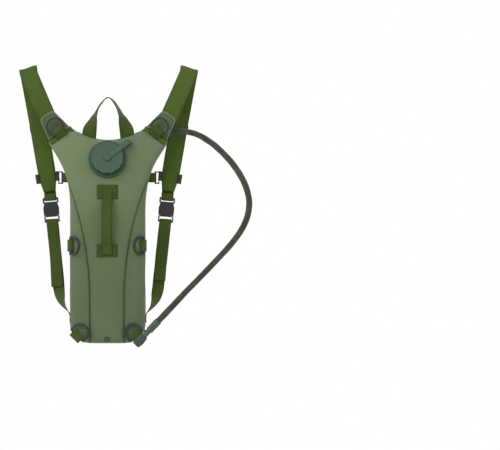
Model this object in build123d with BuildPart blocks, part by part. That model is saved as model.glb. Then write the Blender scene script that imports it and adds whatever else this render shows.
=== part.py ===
from build123d import *
import math
import os

os.makedirs("parts", exist_ok=True)

# A slim hydration pack, in millimetres. X runs across the pack, +Y points to the wearer and +Z up.
# The origin is where the haul loop hangs on its hook. Heights count up from the base of the pack.

# Driving dimensions of the carrier
hang_height = 514.0
back_y = 16.0
body_width = 157.0
body_depth = 68.0
slab_height = 225.0
yoke_width = 176.0
yoke_height = 350.0
yoke_depth = 44.0
port_height = 384.0
port_width = 206.0
port_depth = 37.0
top_width = 282.0
top_height = 456.0
top_depth = 18.0
front_round = 22.0
back_round = 5.0
base_corner = 40.0
base_round = 20.0
neck_height = 425.0
wing_inner = (79.0, 453.0)
wing_outer = (123.0, 422.0)
wall = 3.0

# Seams and sewn trim
seam_half_width = 36.0
seam_flare_height = 89.0
seam_flare_radius = 670.0
seam_top_height = 336.0
binding_width = 10.0
binding_thickness = 1.2
patch_thickness = 2.0
webbing_thickness = 1.6
webbing_gap = 0.3
band_width = 11.0

# Foam back pad
pad_height = 322.0
pad_thickness = 9.0
pad_margin = 1.0
groove_width = 5.0
groove_depth = 3.0
pad_round = 9.0
pad_round_top = 12.0
pad_edge = 4.0
panel_low = 289.0
panel_high = 316.0
panel_half_width = 50.0
hoop_rise = 6.0
rib_x = 45.0

# Bladder inside the carrier
bladder_gap = 2.5
film = 1.2
bladder_half_width = 66.0
bladder_top = 430.0
hose_channel = 17.0

# Filler port and cap
flange_radius = 40.0
flange_front = 5.0
flange_back = 5.0
weld_radius = 34.0
weld_length = 8.0
neck_outer = 29.0
neck_bore = 25.0
neck_length = 9.0
gasket_thickness = 1.5
cap_radius = 33.5
cap_top = 3.0
cap_clearance = 0.4
cap_rim_gap = 1.0
scallops = 12
scallop_radius = 7.0
scallop_depth = 1.5
leash_width = 10.5
leash_thickness = 2.4
leash_reach = 57.0
leash_angle = 38.0
leash_play = 0.2
stud_radius = 4.0
stud_depth = 2.0
running_clearance = 0.06
button_radius = 7.0
button_height = 2.0

# Straps
strap_width = 38.0
strap_thickness = 4.5
strap_y = 32.0
webbing_width = 25.0
sternum_width = 20.0
anchor_y = -9.0
anchor_thickness = 8.0
crown_fold = 5.0
buckle_lean = 4.9
falling_lean = 9.5
wing_front_y = -15.4
crown = (169.5, 24.0, 572.0)

# Rings
ring_inside = 30.0
ring_rim = 4.5
ring_thickness = 4.0
ring_reach = 28.0
ring_play = 0.4
corner_ring_turn = 45.0
side_ring_height = 204.0
base_edge_flat = 5.0
base_edge_bend = 3.0
strap_ring_x = 148.6
strap_ring_height = 457.0
tab_length = 16.0
shoulder_height = 6.0

# Buckles
buckle_wall = 3.5
buckle_thickness = 9.0
socket_length = 38.0
plug_length = 13.0
buckle_gap = 0.6
socket_low = -12.0
socket_high = 26.0
waist = 14.0
bar_thickness = 4.4
bar_height = 4.2
bar_clearance = 0.2
slot_height = 4.8
cavity_depth = 6.0

# Anchor pads
anchor_reach = 51.5

# Bladder outlet and drain
outlet_height = 70.0
outlet_bore = 4.0
spigot_radius = 8.0
drain_height = 8.0
drain_bore = 3.0
drain_tube = 4.5
drain_flange = 6.0

# Haul loop and front handle
loop_width = 30.0
handle_x = 0.5
handle_width = 22.0
handle_patch_width = 43.0

# Sternum strap
sternum_height = 347.0
slider_height = 20.0
slider_wall = 2.2
slider_side_play = 3.6
slider_play = 0.5
slider_opening = 17.5
slider_center = 129.5
ear_slot = 4.5
ear_bar = 3.6
ear_play = 1.5
ear_overlap = 2.0

# Drink hose and bite valve
hose_diameter = 13.0
hose_hole_clearance = 1.0
connector_length = 28.0
connector_radius = 7.6
valve_neck = 5.5
valve_length = 14.0
valve_bore = 2.6
lever_length = 10.0
bite_length = 27.0
bite_size = (19.0, 15.0)


# Z of a height above the base of the pack
def level(height):
    return height - hang_height


# A plane facing forwards, at one depth
def facing(y):
    return Plane.XZ.offset(-y)


# A point given across the pack and up from its base
def at(x, height):
    return (x, level(height))


# A place given by its height above the base
def spot(x, y, height):
    return Vector(x, y, level(height))


def save(part, name):
    part.label = name
    export_step(part, f"parts/{name}.step")


side_names = {-1: "left", 1: "right"}

# The wing's end runs from its inner corner, at the neck, out and down to its outer corner
wing_run = math.hypot(wing_outer[0] - wing_inner[0], wing_outer[1] - wing_inner[1])
wing_along = ((wing_outer[0] - wing_inner[0]) / wing_run, (wing_outer[1] - wing_inner[1]) / wing_run)
wing_out = (-wing_along[1], wing_along[0])


# A point beside the wing's end: so far along it from its inner corner, and so far out from it
def wing_point(along, out):
    return (
        wing_inner[0] + along * wing_along[0] + out * wing_out[0],
        wing_inner[1] + along * wing_along[1] + out * wing_out[1],
    )


# One section of the carrier: nearly square at the wearer's side and well rounded in front
def carrier_section(height, width, depth, inset):
    half_depth = depth / 2
    with BuildSketch(Plane.XY.offset(level(height))) as section:
        with Locations((0, back_y - half_depth)):
            Rectangle(width - 2 * inset, depth - 2 * inset)
        rows = section.vertices().group_by(Axis.Y)
        fillet(rows[0], max(front_round * depth / body_depth - inset, 1.0))
        fillet(section.vertices().group_by(Axis.Y)[-1], max(back_round - inset, 1.0))
    return section.sketch


# Front outline: rounded base corners, hollow neck line and slanted wing ends
def carrier_outline(inset):
    neck_drop = wing_inner[1] - neck_height
    neck_radius = (wing_inner[0] ** 2 + neck_drop**2) / (2 * neck_drop)
    wing_slope = math.degrees(math.atan2(wing_along[1], wing_along[0]))
    cut_depth = top_width / 2
    with BuildSketch(facing(0)) as outline:
        with Locations(at(0, inset)):
            Rectangle(body_width - 2 * inset, slab_height, align=(Align.CENTER, Align.MIN))
        fillet(outline.vertices().group_by(Axis.Z)[0], base_corner - inset)
        with Locations(at(0, slab_height / 2)):
            Rectangle(2 * top_width, 2 * top_height, align=(Align.CENTER, Align.MIN))
        with Locations(at(0, neck_height + neck_radius)):
            Circle(neck_radius + inset, mode=Mode.SUBTRACT)
        for side in side_names:
            x, height = wing_point(wing_run / 2, cut_depth - inset)
            with Locations(Location((side * x, level(height)), side * wing_slope)):
                Rectangle(wing_run * 8, cut_depth * 2, mode=Mode.SUBTRACT)
    return outline.sketch


# Side profile: only its base corners matter, the rest is left to the sections
def carrier_profile(inset):
    with BuildSketch(Plane.YZ) as profile:
        with Locations((back_y - inset, level(inset))):
            Rectangle(
                body_depth - 2 * inset,
                top_height * 2,
                align=(Align.MAX, Align.MIN),
            )
        fillet(profile.vertices().group_by(Axis.Y)[0], base_round - inset)
    return profile.sketch


# The carrier as a solid, with every face moved in by the inset, or out where it is negative
def carrier_volume(inset):
    stations = [
        (0, body_width, body_depth),
        (slab_height, body_width, body_depth),
        (yoke_height, yoke_width, yoke_depth),
        (port_height, port_width, port_depth),
        (top_height, top_width, top_depth),
    ]
    with BuildPart() as volume:
        add(carrier_section(-5, body_width, body_depth, inset))
        for share in (0.5, 0.8):
            add(carrier_section(slab_height * share, body_width, body_depth, inset))
        for height, width, depth in stations[1:]:
            add(carrier_section(height, width, depth, inset))
        loft()
        extrude(carrier_outline(inset), amount=body_depth * 2, both=True, mode=Mode.INTERSECT)
        extrude(carrier_profile(inset), amount=top_width, both=True, mode=Mode.INTERSECT)
    return volume.part


carrier_outside = carrier_volume(0)
carrier_inside = carrier_volume(wall)
binding_outside = carrier_volume(-binding_thickness)
patch_outside = carrier_volume(-patch_thickness)

# Places that several pieces share
pad_y = back_y + pad_thickness
port_y = back_y - port_depth
front_y = back_y - body_depth
port_tilt = math.atan2(yoke_depth - port_depth, port_height - yoke_height)
port_plane = Plane(
    origin=(0, port_y, level(port_height)),
    x_dir=(1, 0, 0),
    z_dir=(0, -math.cos(port_tilt), math.sin(port_tilt)),
)
neck_end = flange_front + neck_length
cap_inside = neck_end + gasket_thickness
cap_face = cap_inside + cap_top
hose_radius = hose_diameter / 2


# The free hose's route, as (x, y, height), from the wing's end down to the connector
hose_points = [
    (108.0, 6.4, 429.6),
    (130.5, 7.6, 442.0),
    (158.0, 8.0, 445.0),
    (187.0, 6.0, 438.5),
    (216.0, 1.0, 421.0),
    (243.0, -7.0, 397.0),
    (268.0, -16.5, 368.0),
    (290.0, -29.0, 330.0),
    (299.0, -43.0, 288.0),
    (287.0, -55.5, 245.0),
    (257.0, -66.5, 204.0),
    (223.0, -75.5, 168.0),
    (189.0, -82.0, 133.0),
    (156.0, -86.0, 99.0),
    (126.0, -88.0, 67.0),
    (108.5, -88.0, 48.5),
]
# The hose inside, from the bladder's outlet up to the wing's end
inner_hose_points = [
    (30.0, 6.0, outlet_height),
    (30.0, 6.0, 118.0),
    (33.0, 6.0, 190.0),
    (39.0, 6.0, 262.0),
    (49.0, 6.0, 325.0),
    (57.0, 6.0, 361.0),
    (69.0, 6.0, 396.0),
    (85.5, 5.2, 417.2),
    (108.0, 6.4, 429.6),
]


# A hose along straight runs joined by arcs as large as the runs allow
def hose_tube(points, name):
    corners = [spot(*point) for point in points]
    radii = []
    for before, corner, after in zip(corners, corners[1:], corners[2:]):
        turn = math.radians((corner - before).get_angle(after - corner))
        shorter = min((corner - before).length, (after - corner).length)
        radii.append(0.45 * shorter / math.tan(turn / 2))
    with BuildPart() as tube:
        with BuildLine() as route:
            FilletPolyline(*corners, radius=radii)
        start = Plane(origin=corners[0], z_dir=corners[1] - corners[0])
        with BuildSketch(start):
            Circle(hose_radius)
        sweep()
    length = route.wire().length
    share = tube.part.volume / (math.pi * hose_radius**2 * length)
    print(name, "radii", [round(radius) for radius in radii], "length", round(length), "volume", round(share, 4))
    return tube.part


# The hole that the hose leaves by
exit_start, exit_end = [spot(*point) for point in inner_hose_points[-2:]]
exit_direction = (exit_end - exit_start).normalized()
with BuildPart() as hose_hole:
    with BuildSketch(Plane(origin=exit_start, z_dir=exit_direction)):
        Circle(hose_radius + hose_hole_clearance)
    extrude(amount=(exit_end - exit_start).length + anchor_thickness)


# The centre panel's region: straight sides that flare out to the pack's edge below the wings
def seam_region():
    flare_rise = seam_top_height - seam_flare_height
    flare_out = seam_flare_radius - math.sqrt(seam_flare_radius**2 - flare_rise**2)
    top_x = seam_half_width + flare_out
    with BuildSketch(facing(0)) as region:
        with BuildLine():
            Polyline(
                at(seam_half_width, seam_flare_height),
                at(seam_half_width, -base_round),
                at(-seam_half_width, -base_round),
                at(-seam_half_width, seam_flare_height),
            )
            TangentArc(at(-seam_half_width, seam_flare_height), at(-top_x, seam_top_height), tangent=(0, 1))
            Polyline(
                at(-top_x, seam_top_height),
                at(-top_width, seam_top_height),
                at(-top_width, top_height),
                at(top_width, top_height),
                at(top_width, seam_top_height),
                at(top_x, seam_top_height),
            )
            TangentArc(at(seam_half_width, seam_flare_height), at(top_x, seam_top_height), tangent=(0, 1))
        make_face()
    return region.sketch


# The drain looks out and down through the rounded front of the base
drain_tilt = math.asin(1 - drain_height / base_round)
drain_plane = Plane(
    origin=(0, front_y + base_round * (1 - math.cos(drain_tilt)), level(drain_height)),
    x_dir=(1, 0, 0),
    z_dir=(0, -math.cos(drain_tilt), -math.sin(drain_tilt)),
)

# Fabric shell of the carrier, with the holes for the port, the hose and the drain
back_panel_y = back_y - wall
with BuildPart() as shell:
    add(carrier_outside)
    add(carrier_inside, mode=Mode.SUBTRACT)
    with BuildSketch(port_plane.offset(-flange_back - film)):
        Circle(flange_radius)
    extrude(amount=flange_back + film + flange_front, mode=Mode.SUBTRACT)
    add(hose_hole.part, mode=Mode.SUBTRACT)
    with BuildSketch(drain_plane.offset(-2 * wall)):
        Circle(drain_tube)
    extrude(amount=3 * wall, mode=Mode.SUBTRACT)

# Fabric panels, cut from the shell along their seams
with BuildPart() as front_panel:
    add(shell.part)
    with BuildSketch(facing(back_panel_y)):
        add(seam_region())
    extrude(amount=body_depth, mode=Mode.INTERSECT)
save(front_panel.part, "front_panel")

with BuildPart() as side_panels:
    add(shell.part)
    with BuildSketch(facing(back_panel_y)):
        with Locations(at(0, seam_top_height / 2)):
            Rectangle(body_width * 2, seam_top_height)
        add(seam_region(), mode=Mode.SUBTRACT)
    extrude(amount=body_depth, mode=Mode.INTERSECT)
for side, panel in zip(side_names, side_panels.part.solids().sort_by(Axis.X)):
    save(Part(panel.wrapped), f"side_panel_{side_names[side]}")

with BuildPart() as back_panel:
    add(shell.part)
    with BuildSketch(facing(back_y)):
        with Locations(at(0, yoke_height / 2)):
            Rectangle(top_width, yoke_height)
    extrude(amount=wall, mode=Mode.INTERSECT)
save(back_panel.part, "back_panel")

with BuildPart() as yoke_panel:
    add(shell.part)
    with BuildSketch(facing(back_y)):
        with Locations(at(0, yoke_height)):
            Rectangle(top_width, top_height, align=(Align.CENTER, Align.MIN))
    extrude(amount=wall, mode=Mode.INTERSECT)
save(yoke_panel.part, "yoke_panel")

# Webbing band sewn across the back under the yoke
band_height = yoke_height + 5.0
with BuildPart() as back_band:
    with BuildSketch(facing(back_y)):
        with Locations(at(0, band_height)):
            Rectangle(yoke_width - 2 * back_round, band_width)
    extrude(amount=-webbing_thickness)
save(back_band.part, "back_band")

# Webbing folded over each wing's end
wing_middle = wing_point(wing_run / 2, 0)
wing_slope = math.degrees(math.atan2(wing_along[1], wing_along[0]))
for side, side_name in side_names.items():
    with BuildPart() as binding:
        add(binding_outside)
        with BuildSketch(facing(port_y)):
            with Locations(Location((side * wing_middle[0], level(wing_middle[1])), side * wing_slope)):
                Rectangle(wing_run + 2 * binding_width, 2 * binding_width)
        extrude(amount=body_depth, both=True, mode=Mode.INTERSECT)
        add(carrier_outside, mode=Mode.SUBTRACT)
        add(hose_hole.part, mode=Mode.SUBTRACT)
    save(binding.part, f"wing_binding_{side_name}")

# Anchor pads beyond the wings' ends, which the shoulder straps are sewn to
anchor_start = binding_thickness + webbing_gap
for side, side_name in side_names.items():
    corners = [
        wing_point(1.0, anchor_start),
        wing_point(10.0, anchor_reach),
        wing_point(wing_run - 10.0, anchor_reach),
        wing_point(wing_run, anchor_start),
    ]
    with BuildPart() as anchor_pad:
        with BuildSketch(facing(anchor_y)) as anchor_outline:
            with BuildLine():
                Polyline([at(side * x, height) for x, height in corners], close=True)
            make_face()
            sewn_edge = spot(side * wing_middle[0], anchor_y, wing_middle[1])
            fillet(anchor_outline.vertices().sort_by_distance(sewn_edge)[-2:], pad_round)
        extrude(amount=-anchor_thickness)
    save(anchor_pad.part, f"anchor_pad_{side_name}")

# Moulded foam pad on the wearer's side, with chevrons, hoops and ribs pressed into it
pad_width = body_width - 2 * pad_margin
hoop_heights = [215.0, 135.0, 51.0]
chevrons = [
    [(-panel_half_width, panel_low - 8.0), (0.0, 231.0), (panel_half_width, panel_low - 8.0)],
    [(-32.0, panel_low - 4.0), (0.0, 251.0), (32.0, panel_low - 4.0)],
    [(-78.0, 284.0), (-48.0, 218.0)],
    [(78.0, 284.0), (48.0, 218.0)],
    [(-78.0, 233.0), (-50.0, 214.0)],
    [(78.0, 233.0), (50.0, 214.0)],
    [(-rib_x, hoop_heights[0]), (-rib_x, hoop_heights[2])],
    [(rib_x, hoop_heights[0]), (rib_x, hoop_heights[2])],
    [(-39.0, 47.0), (-24.0, 6.0)],
    [(39.0, 47.0), (24.0, 6.0)],
]


with BuildPart() as back_pad:
    with BuildSketch(facing(back_y)) as pad_outline:
        with Locations(at(0, pad_margin)):
            Rectangle(pad_width, pad_height - pad_margin, align=(Align.CENTER, Align.MIN))
        rows = pad_outline.vertices().group_by(Axis.Z)
        fillet(rows[0], base_corner - pad_margin)
        fillet(pad_outline.vertices().group_by(Axis.Z)[-1], pad_round_top)
    extrude(amount=-pad_thickness)
    fillet(back_pad.faces().sort_by(Axis.Y)[-1].edges(), pad_edge)
    with BuildSketch(facing(pad_y)):
        with Locations(at(0, (panel_low + panel_high) / 2)):
            RectangleRounded(2 * panel_half_width, panel_high - panel_low, groove_width)
        for corners in chevrons:
            with BuildLine() as pressed:
                Polyline([at(x, height) for x, height in corners])
            trace(pressed.line, line_width=groove_width)
        for height in hoop_heights:
            with BuildLine() as hoop:
                ThreePointArc(at(-pad_width, height), at(0, height + hoop_rise), at(pad_width, height))
            trace(hoop.line, line_width=groove_width)
    extrude(amount=-groove_depth, mode=Mode.SUBTRACT)
save(back_pad.part, "back_pad")

# Filler port: a flange set into the front panel, a threaded neck, and a collar welded to the bladder
with BuildPart() as port_collar:
    with BuildSketch(port_plane.offset(-flange_back)):
        Circle(flange_radius - cap_clearance / 2)
    extrude(amount=flange_back + flange_front)
    fillet(port_collar.edges().group_by(Axis.Y)[0], 1.5)
    with BuildSketch(port_plane.offset(-flange_back)):
        Circle(weld_radius)
    extrude(amount=-weld_length)
    with BuildSketch(port_plane.offset(flange_front)):
        Circle(neck_outer)
    extrude(amount=neck_length)
    with BuildSketch(port_plane.offset(flange_front)):
        with Locations(Rotation(0, 0, leash_angle)):
            with Locations((leash_reach / 2, 0)):
                SlotOverall(leash_reach + leash_width, leash_width + 2.0)
    extrude(amount=-3.0)
    with BuildSketch(port_plane.offset(neck_end)):
        Circle(neck_bore)
    extrude(amount=-(neck_end + flange_back + weld_length), mode=Mode.SUBTRACT)
save(port_collar.part, "port_collar")

with BuildPart() as cap_gasket:
    with BuildSketch(port_plane.offset(neck_end)):
        Circle(neck_outer)
        Circle(neck_bore, mode=Mode.SUBTRACT)
    extrude(amount=gasket_thickness)
save(cap_gasket.part, "cap_gasket")

# Screw cap: a plate and skirt with finger scallops round the rim
with BuildPart() as cap:
    with BuildSketch(port_plane.offset(flange_front + cap_rim_gap)):
        Circle(cap_radius)
        with PolarLocations(cap_radius + scallop_radius - scallop_depth, scallops):
            Circle(scallop_radius, mode=Mode.SUBTRACT)
    extrude(amount=cap_face - flange_front - cap_rim_gap)
    chamfer(cap.faces().sort_by(Axis.Y)[0].edges(), 0.8)
    with BuildSketch(port_plane.offset(flange_front + cap_rim_gap)):
        Circle(neck_outer + cap_clearance)
    extrude(amount=cap_inside - flange_front - cap_rim_gap, mode=Mode.SUBTRACT)
    with BuildSketch(port_plane.offset(cap_face)):
        Circle(stud_radius)
    extrude(amount=-stud_depth, mode=Mode.SUBTRACT)
save(cap.part, "cap")

# Leash: an eye under the button, a strip across the cap, and a leg down to the collar's lug
leash_low = cap_face + leash_play
with BuildPart() as cap_leash:
    with BuildSketch(port_plane.offset(leash_low)):
        with Locations(Rotation(0, 0, leash_angle)):
            with Locations((leash_reach / 2, 0)):
                SlotOverall(leash_reach + leash_width, leash_width)
        Circle(button_radius + 1.0)
        Circle(stud_radius + running_clearance, mode=Mode.SUBTRACT)
    extrude(amount=leash_thickness)
    with BuildSketch(port_plane.offset(flange_front)):
        with Locations(Rotation(0, 0, leash_angle)):
            with Locations((leash_reach, 0)):
                Circle(leash_width / 2)
    extrude(amount=leash_low - flange_front)
save(cap_leash.part, "cap_leash")

# Button that rivets the leash's eye to the cap
button_low = leash_low + leash_thickness + leash_play
with BuildPart() as leash_button:
    with BuildSketch(port_plane.offset(cap_face - stud_depth)):
        Circle(stud_radius)
    extrude(amount=button_low - cap_face + stud_depth)
    with BuildSketch(port_plane.offset(button_low)):
        Circle(button_radius)
    extrude(amount=button_height)
    fillet(leash_button.edges().group_by(Axis.Y)[0], 0.8)
save(leash_button.part, "leash_button")


# The bladder's share of the carrier: less wide, lower, and clear of the hose behind it
def bladder_volume(inset):
    spare = inset - wall - bladder_gap
    with BuildPart() as volume:
        add(carrier_volume(inset))
        with BuildSketch(facing(back_y - hose_channel - spare)):
            with Locations(at(0, 0)):
                Rectangle(
                    2 * (bladder_half_width - spare),
                    bladder_top - spare,
                    align=(Align.CENTER, Align.MIN),
                )
        extrude(amount=body_depth, mode=Mode.INTERSECT)
    return volume.part


# Bladder: a welded film bag with a hole for the port and another for the outlet
bladder_back_y = back_y - hose_channel
outlet_x = inner_hose_points[0][0]
outlet_y = inner_hose_points[0][1]
outlet_center = at(outlet_x, outlet_height - 2 * spigot_radius)
bladder_outside = bladder_volume(wall + bladder_gap)
with BuildPart() as bladder:
    add(bladder_outside)
    add(bladder_volume(wall + bladder_gap + film), mode=Mode.SUBTRACT)
    with BuildSketch(port_plane.offset(-flange_back)):
        Circle(flange_radius)
    extrude(amount=flange_back + flange_front, mode=Mode.SUBTRACT)
    with BuildSketch(port_plane.offset(-flange_back)):
        Circle(weld_radius)
    extrude(amount=-weld_length, mode=Mode.SUBTRACT)
    with BuildSketch(facing(bladder_back_y)):
        with Locations(outlet_center):
            Circle(spigot_radius)
    extrude(amount=film, mode=Mode.SUBTRACT)
save(bladder.part, "bladder")

# Outlet elbow: a spigot through the film, and a socket that points up at the hose
elbow_depth = outlet_y + hose_radius - bladder_back_y
with BuildPart() as outlet_fitting:
    with BuildSketch(facing(bladder_back_y)):
        with Locations(outlet_center):
            Circle(spigot_radius)
    extrude(amount=film + 2.0)
    with BuildSketch(facing(bladder_back_y)):
        with Locations(outlet_center):
            Circle(spigot_radius + 4.0)
    extrude(amount=-2.0)
    with BuildSketch(facing(bladder_back_y)):
        with Locations(at(outlet_x, outlet_height)):
            Rectangle(hose_diameter, 3 * spigot_radius, align=(Align.CENTER, Align.MAX))
    extrude(amount=-elbow_depth)
    with BuildSketch(facing(bladder_back_y - film - 2.0)):
        with Locations(outlet_center):
            Circle(outlet_bore)
    extrude(amount=-(elbow_depth / 2 + film + 2.0), mode=Mode.SUBTRACT)
    with BuildSketch(Plane.XY.offset(level(outlet_height))):
        with Locations((outlet_x, outlet_y)):
            Circle(outlet_bore)
    extrude(amount=-2 * spigot_radius, mode=Mode.SUBTRACT)
save(outlet_fitting.part, "outlet_fitting")

# Hoses
save(hose_tube(inner_hose_points, "inner_hose"), "inner_hose")
save(hose_tube(hose_points, "drink_hose"), "drink_hose")

# Connector, shut-off valve and bite valve, in line with the end of the hose
hose_before, hose_end = [spot(*point) for point in hose_points[-2:]]
valve_direction = (hose_end - hose_before).normalized()
valve_side = valve_direction.cross(Vector(0, -1, 0))
valve_plane = Plane(origin=hose_end, x_dir=valve_side, z_dir=valve_direction)
spindle_height = connector_length + valve_length / 2 - 1.0

with BuildPart() as hose_connector:
    with BuildSketch(valve_plane):
        Circle(connector_radius)
    extrude(amount=connector_length)
    fillet(hose_connector.edges().filter_by(GeomType.CIRCLE), 1.2)
    for ring in range(3):
        with BuildSketch(valve_plane.offset(connector_length - 6.0 - 4.0 * ring)):
            Circle(connector_radius)
            Circle(connector_radius - 0.7, mode=Mode.SUBTRACT)
        extrude(amount=1.2, mode=Mode.SUBTRACT)
save(hose_connector.part, "hose_connector")

with BuildPart() as shutoff_valve:
    with BuildSketch(valve_plane.offset(connector_length)):
        Circle(valve_neck)
    extrude(amount=valve_length)
    with BuildSketch(Plane(origin=valve_plane.origin, x_dir=valve_direction, z_dir=valve_side)):
        with Locations((spindle_height, 0)):
            Circle(valve_bore)
    extrude(amount=valve_neck * 2, both=True, mode=Mode.SUBTRACT)
save(shutoff_valve.part, "shutoff_valve")

spindle_plane = Plane(
    origin=hose_end + valve_direction * spindle_height,
    x_dir=valve_direction,
    z_dir=valve_side,
)
with BuildPart() as shutoff_lever:
    with BuildSketch(spindle_plane.offset(-valve_neck)):
        Circle(valve_bore - running_clearance)
    extrude(amount=2 * valve_neck + 1.0)
    with BuildSketch(spindle_plane.offset(valve_neck + 0.6)):
        with Locations((lever_length / 2 - 2.5, 0)):
            SlotOverall(lever_length, 6.0)
    extrude(amount=2.6)
save(shutoff_lever.part, "shutoff_lever")

with BuildPart() as bite_valve:
    with BuildSketch(valve_plane.offset(connector_length + valve_length)):
        Ellipse(bite_size[0] / 2 - 2.0, bite_size[1] / 2 - 1.0)
    with BuildSketch(valve_plane.offset(connector_length + valve_length + bite_length * 0.35)):
        Ellipse(bite_size[0] / 2, bite_size[1] / 2)
    with BuildSketch(valve_plane.offset(connector_length + valve_length + bite_length * 0.8)):
        Ellipse(bite_size[0] / 2 - 0.6, bite_size[1] / 2 - 1.5)
    with BuildSketch(valve_plane.offset(connector_length + valve_length + bite_length)):
        Ellipse(bite_size[0] / 2 - 2.5, bite_size[1] / 2 - 4.0)
    loft()
save(bite_valve.part, "bite_valve")


# A strip of webbing through a list of places, with the direction across it at each
def webbing(points, across, width, thickness, end_width=None):
    with BuildPart() as strip:
        for index, point in enumerate(points):
            before = points[max(index - 1, 0)]
            after = points[min(index + 1, len(points) - 1)]
            along = (after - before).normalized()
            side_on = across[index] - along * across[index].dot(along)
            last = index == len(points) - 1
            with BuildSketch(Plane(origin=point, x_dir=side_on, z_dir=along)):
                Rectangle(end_width if end_width and last else width, thickness)
        loft(ruled=True)
    return strip.part


# Half a turn of webbing round a bar that lies along a plane's x axis
wrap_step = 30
wrap_slack = 1 / math.cos(math.radians(wrap_step / 2))
half_turn = [math.radians(angle) for angle in range(0, 181, wrap_step)]


def wrap(plane, bar, gap, way):
    turns = [Vector(0, bar + way * gap * math.sin(a), -gap * math.cos(a)) for a in half_turn]
    return [plane.from_local_coords(place) for place in turns]


# A direction across a strap that leans outwards by an angle from upright
def leaning(side, angle):
    return Vector(math.cos(math.radians(angle)), 0, -side * math.sin(math.radians(angle)))


# Haul loop: webbing sewn flat into the neck, turned edge-on and joined at the hook
loop_top = hang_height + webbing_thickness / 2
loop_half = [
    (41.0, 4.0, neck_height + 3.0, 0),
    (38.5, 4.0, 446.0, 12),
    (33.0, 3.2, 462.0, 45),
    (27.0, 2.0, 478.0, 78),
    (21.0, 1.0, 492.0, 90),
    (13.0, 0.2, 504.5, 90),
    (6.0, 0.0, 512.0, 90),
    (1.5, 0.0, loop_top, 90),
    (-1.5, 0.0, loop_top, 90),
]
lobe = webbing(
    [spot(x, y, height) for x, y, height, turn in loop_half],
    [Vector(math.cos(math.radians(turn)), math.sin(math.radians(turn)), 0) for *place, turn in loop_half],
    loop_width,
    webbing_thickness,
)
with BuildPart() as haul_loop:
    add(lobe)
    mirror(about=Plane.YZ)
    add(carrier_outside, mode=Mode.SUBTRACT)
save(haul_loop.part, "haul_loop")

# Front handle: a strip that stands off between two sewn patches
handle_patches = {"upper": (301.0, 331.0), "lower": (180.0, 207.0)}
handle_points = [
    spot(handle_x, front_y - 3.0, 186.0),
    spot(handle_x, front_y - 4.0, 205.0),
    spot(handle_x, front_y - 12.0, 226.0),
    spot(handle_x, front_y - 16.0, 252.0),
    spot(handle_x, front_y - 9.0, 282.0),
    spot(handle_x, front_y + 8.0, 303.0),
    spot(handle_x, front_y + 14.0, 322.0),
]
with BuildPart() as handle_strip:
    add(webbing(handle_points, [Vector(1, 0, 0)] * len(handle_points), handle_width, webbing_thickness))
    add(patch_outside, mode=Mode.SUBTRACT)
save(handle_strip.part, "handle_strip")
for name, (low, high) in handle_patches.items():
    with BuildPart() as handle_patch:
        with BuildSketch(facing(front_y - patch_thickness)):
            with Locations(at(handle_x, (low + high) / 2)):
                RectangleRounded(handle_patch_width, high - low, 2.0)
        extrude(amount=-body_depth / 2)
        add(patch_outside, mode=Mode.INTERSECT)
        add(carrier_outside, mode=Mode.SUBTRACT)
    save(handle_patch.part, f"handle_patch_{name}")

# Drain eyelet through the rounded front of the base
with BuildPart() as drain_eyelet:
    with BuildSketch(drain_plane.offset(-1.0)):
        Circle(drain_flange)
        Circle(drain_bore, mode=Mode.SUBTRACT)
    extrude(amount=2.0)
    add(carrier_outside, mode=Mode.SUBTRACT)
    with BuildSketch(drain_plane.offset(1.0)):
        Circle(drain_tube)
        Circle(drain_bore, mode=Mode.SUBTRACT)
    extrude(amount=-wall - 1.5)
save(drain_eyelet.part, "drain_eyelet")

# Side-release buckles, drawn upright: the socket above and the plug below
plug_low = socket_low - buckle_gap - 13.4
bar_corner = math.hypot(bar_thickness, bar_height) / 2
wrap_gap = (bar_corner + bar_clearance + webbing_thickness / 2) * wrap_slack


def buckle_socket(plane, strap):
    half = strap / 2 + buckle_wall
    with BuildPart() as socket:
        with BuildSketch(plane) as outline:
            with BuildLine():
                Polyline(
                    (-half, socket_low),
                    (-half - 0.5, 4.0),
                    (-half + 2.5, waist + 1.0),
                    (half - 2.5, waist + 1.0),
                    (half + 0.5, 4.0),
                    (half, socket_low),
                    close=True,
                )
            make_face()
        extrude(amount=buckle_thickness / 2, both=True)
        fillet(socket.edges().group_by(SortBy.LENGTH)[0], 1.5)
        with BuildSketch(plane):
            with Locations((0, (waist + socket_high) / 2)):
                RectangleRounded(2 * half + 1.0, socket_high - waist, 2.0)
        extrude(amount=bar_thickness / 2, both=True)
        with BuildSketch(plane):
            with Locations((0, socket_high - bar_height - slot_height / 2)):
                Rectangle(strap + 1.5, slot_height)
        extrude(amount=buckle_thickness, both=True, mode=Mode.SUBTRACT)
        with BuildSketch(plane):
            with Locations((0, socket_low)):
                Rectangle(strap, waist - socket_low - 3.0, align=(Align.CENTER, Align.MIN))
            with Locations((0, 2.0)):
                Rectangle(2 * half + 4.0, 13.0)
        extrude(amount=cavity_depth / 2, both=True, mode=Mode.SUBTRACT)
    return socket.part


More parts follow.
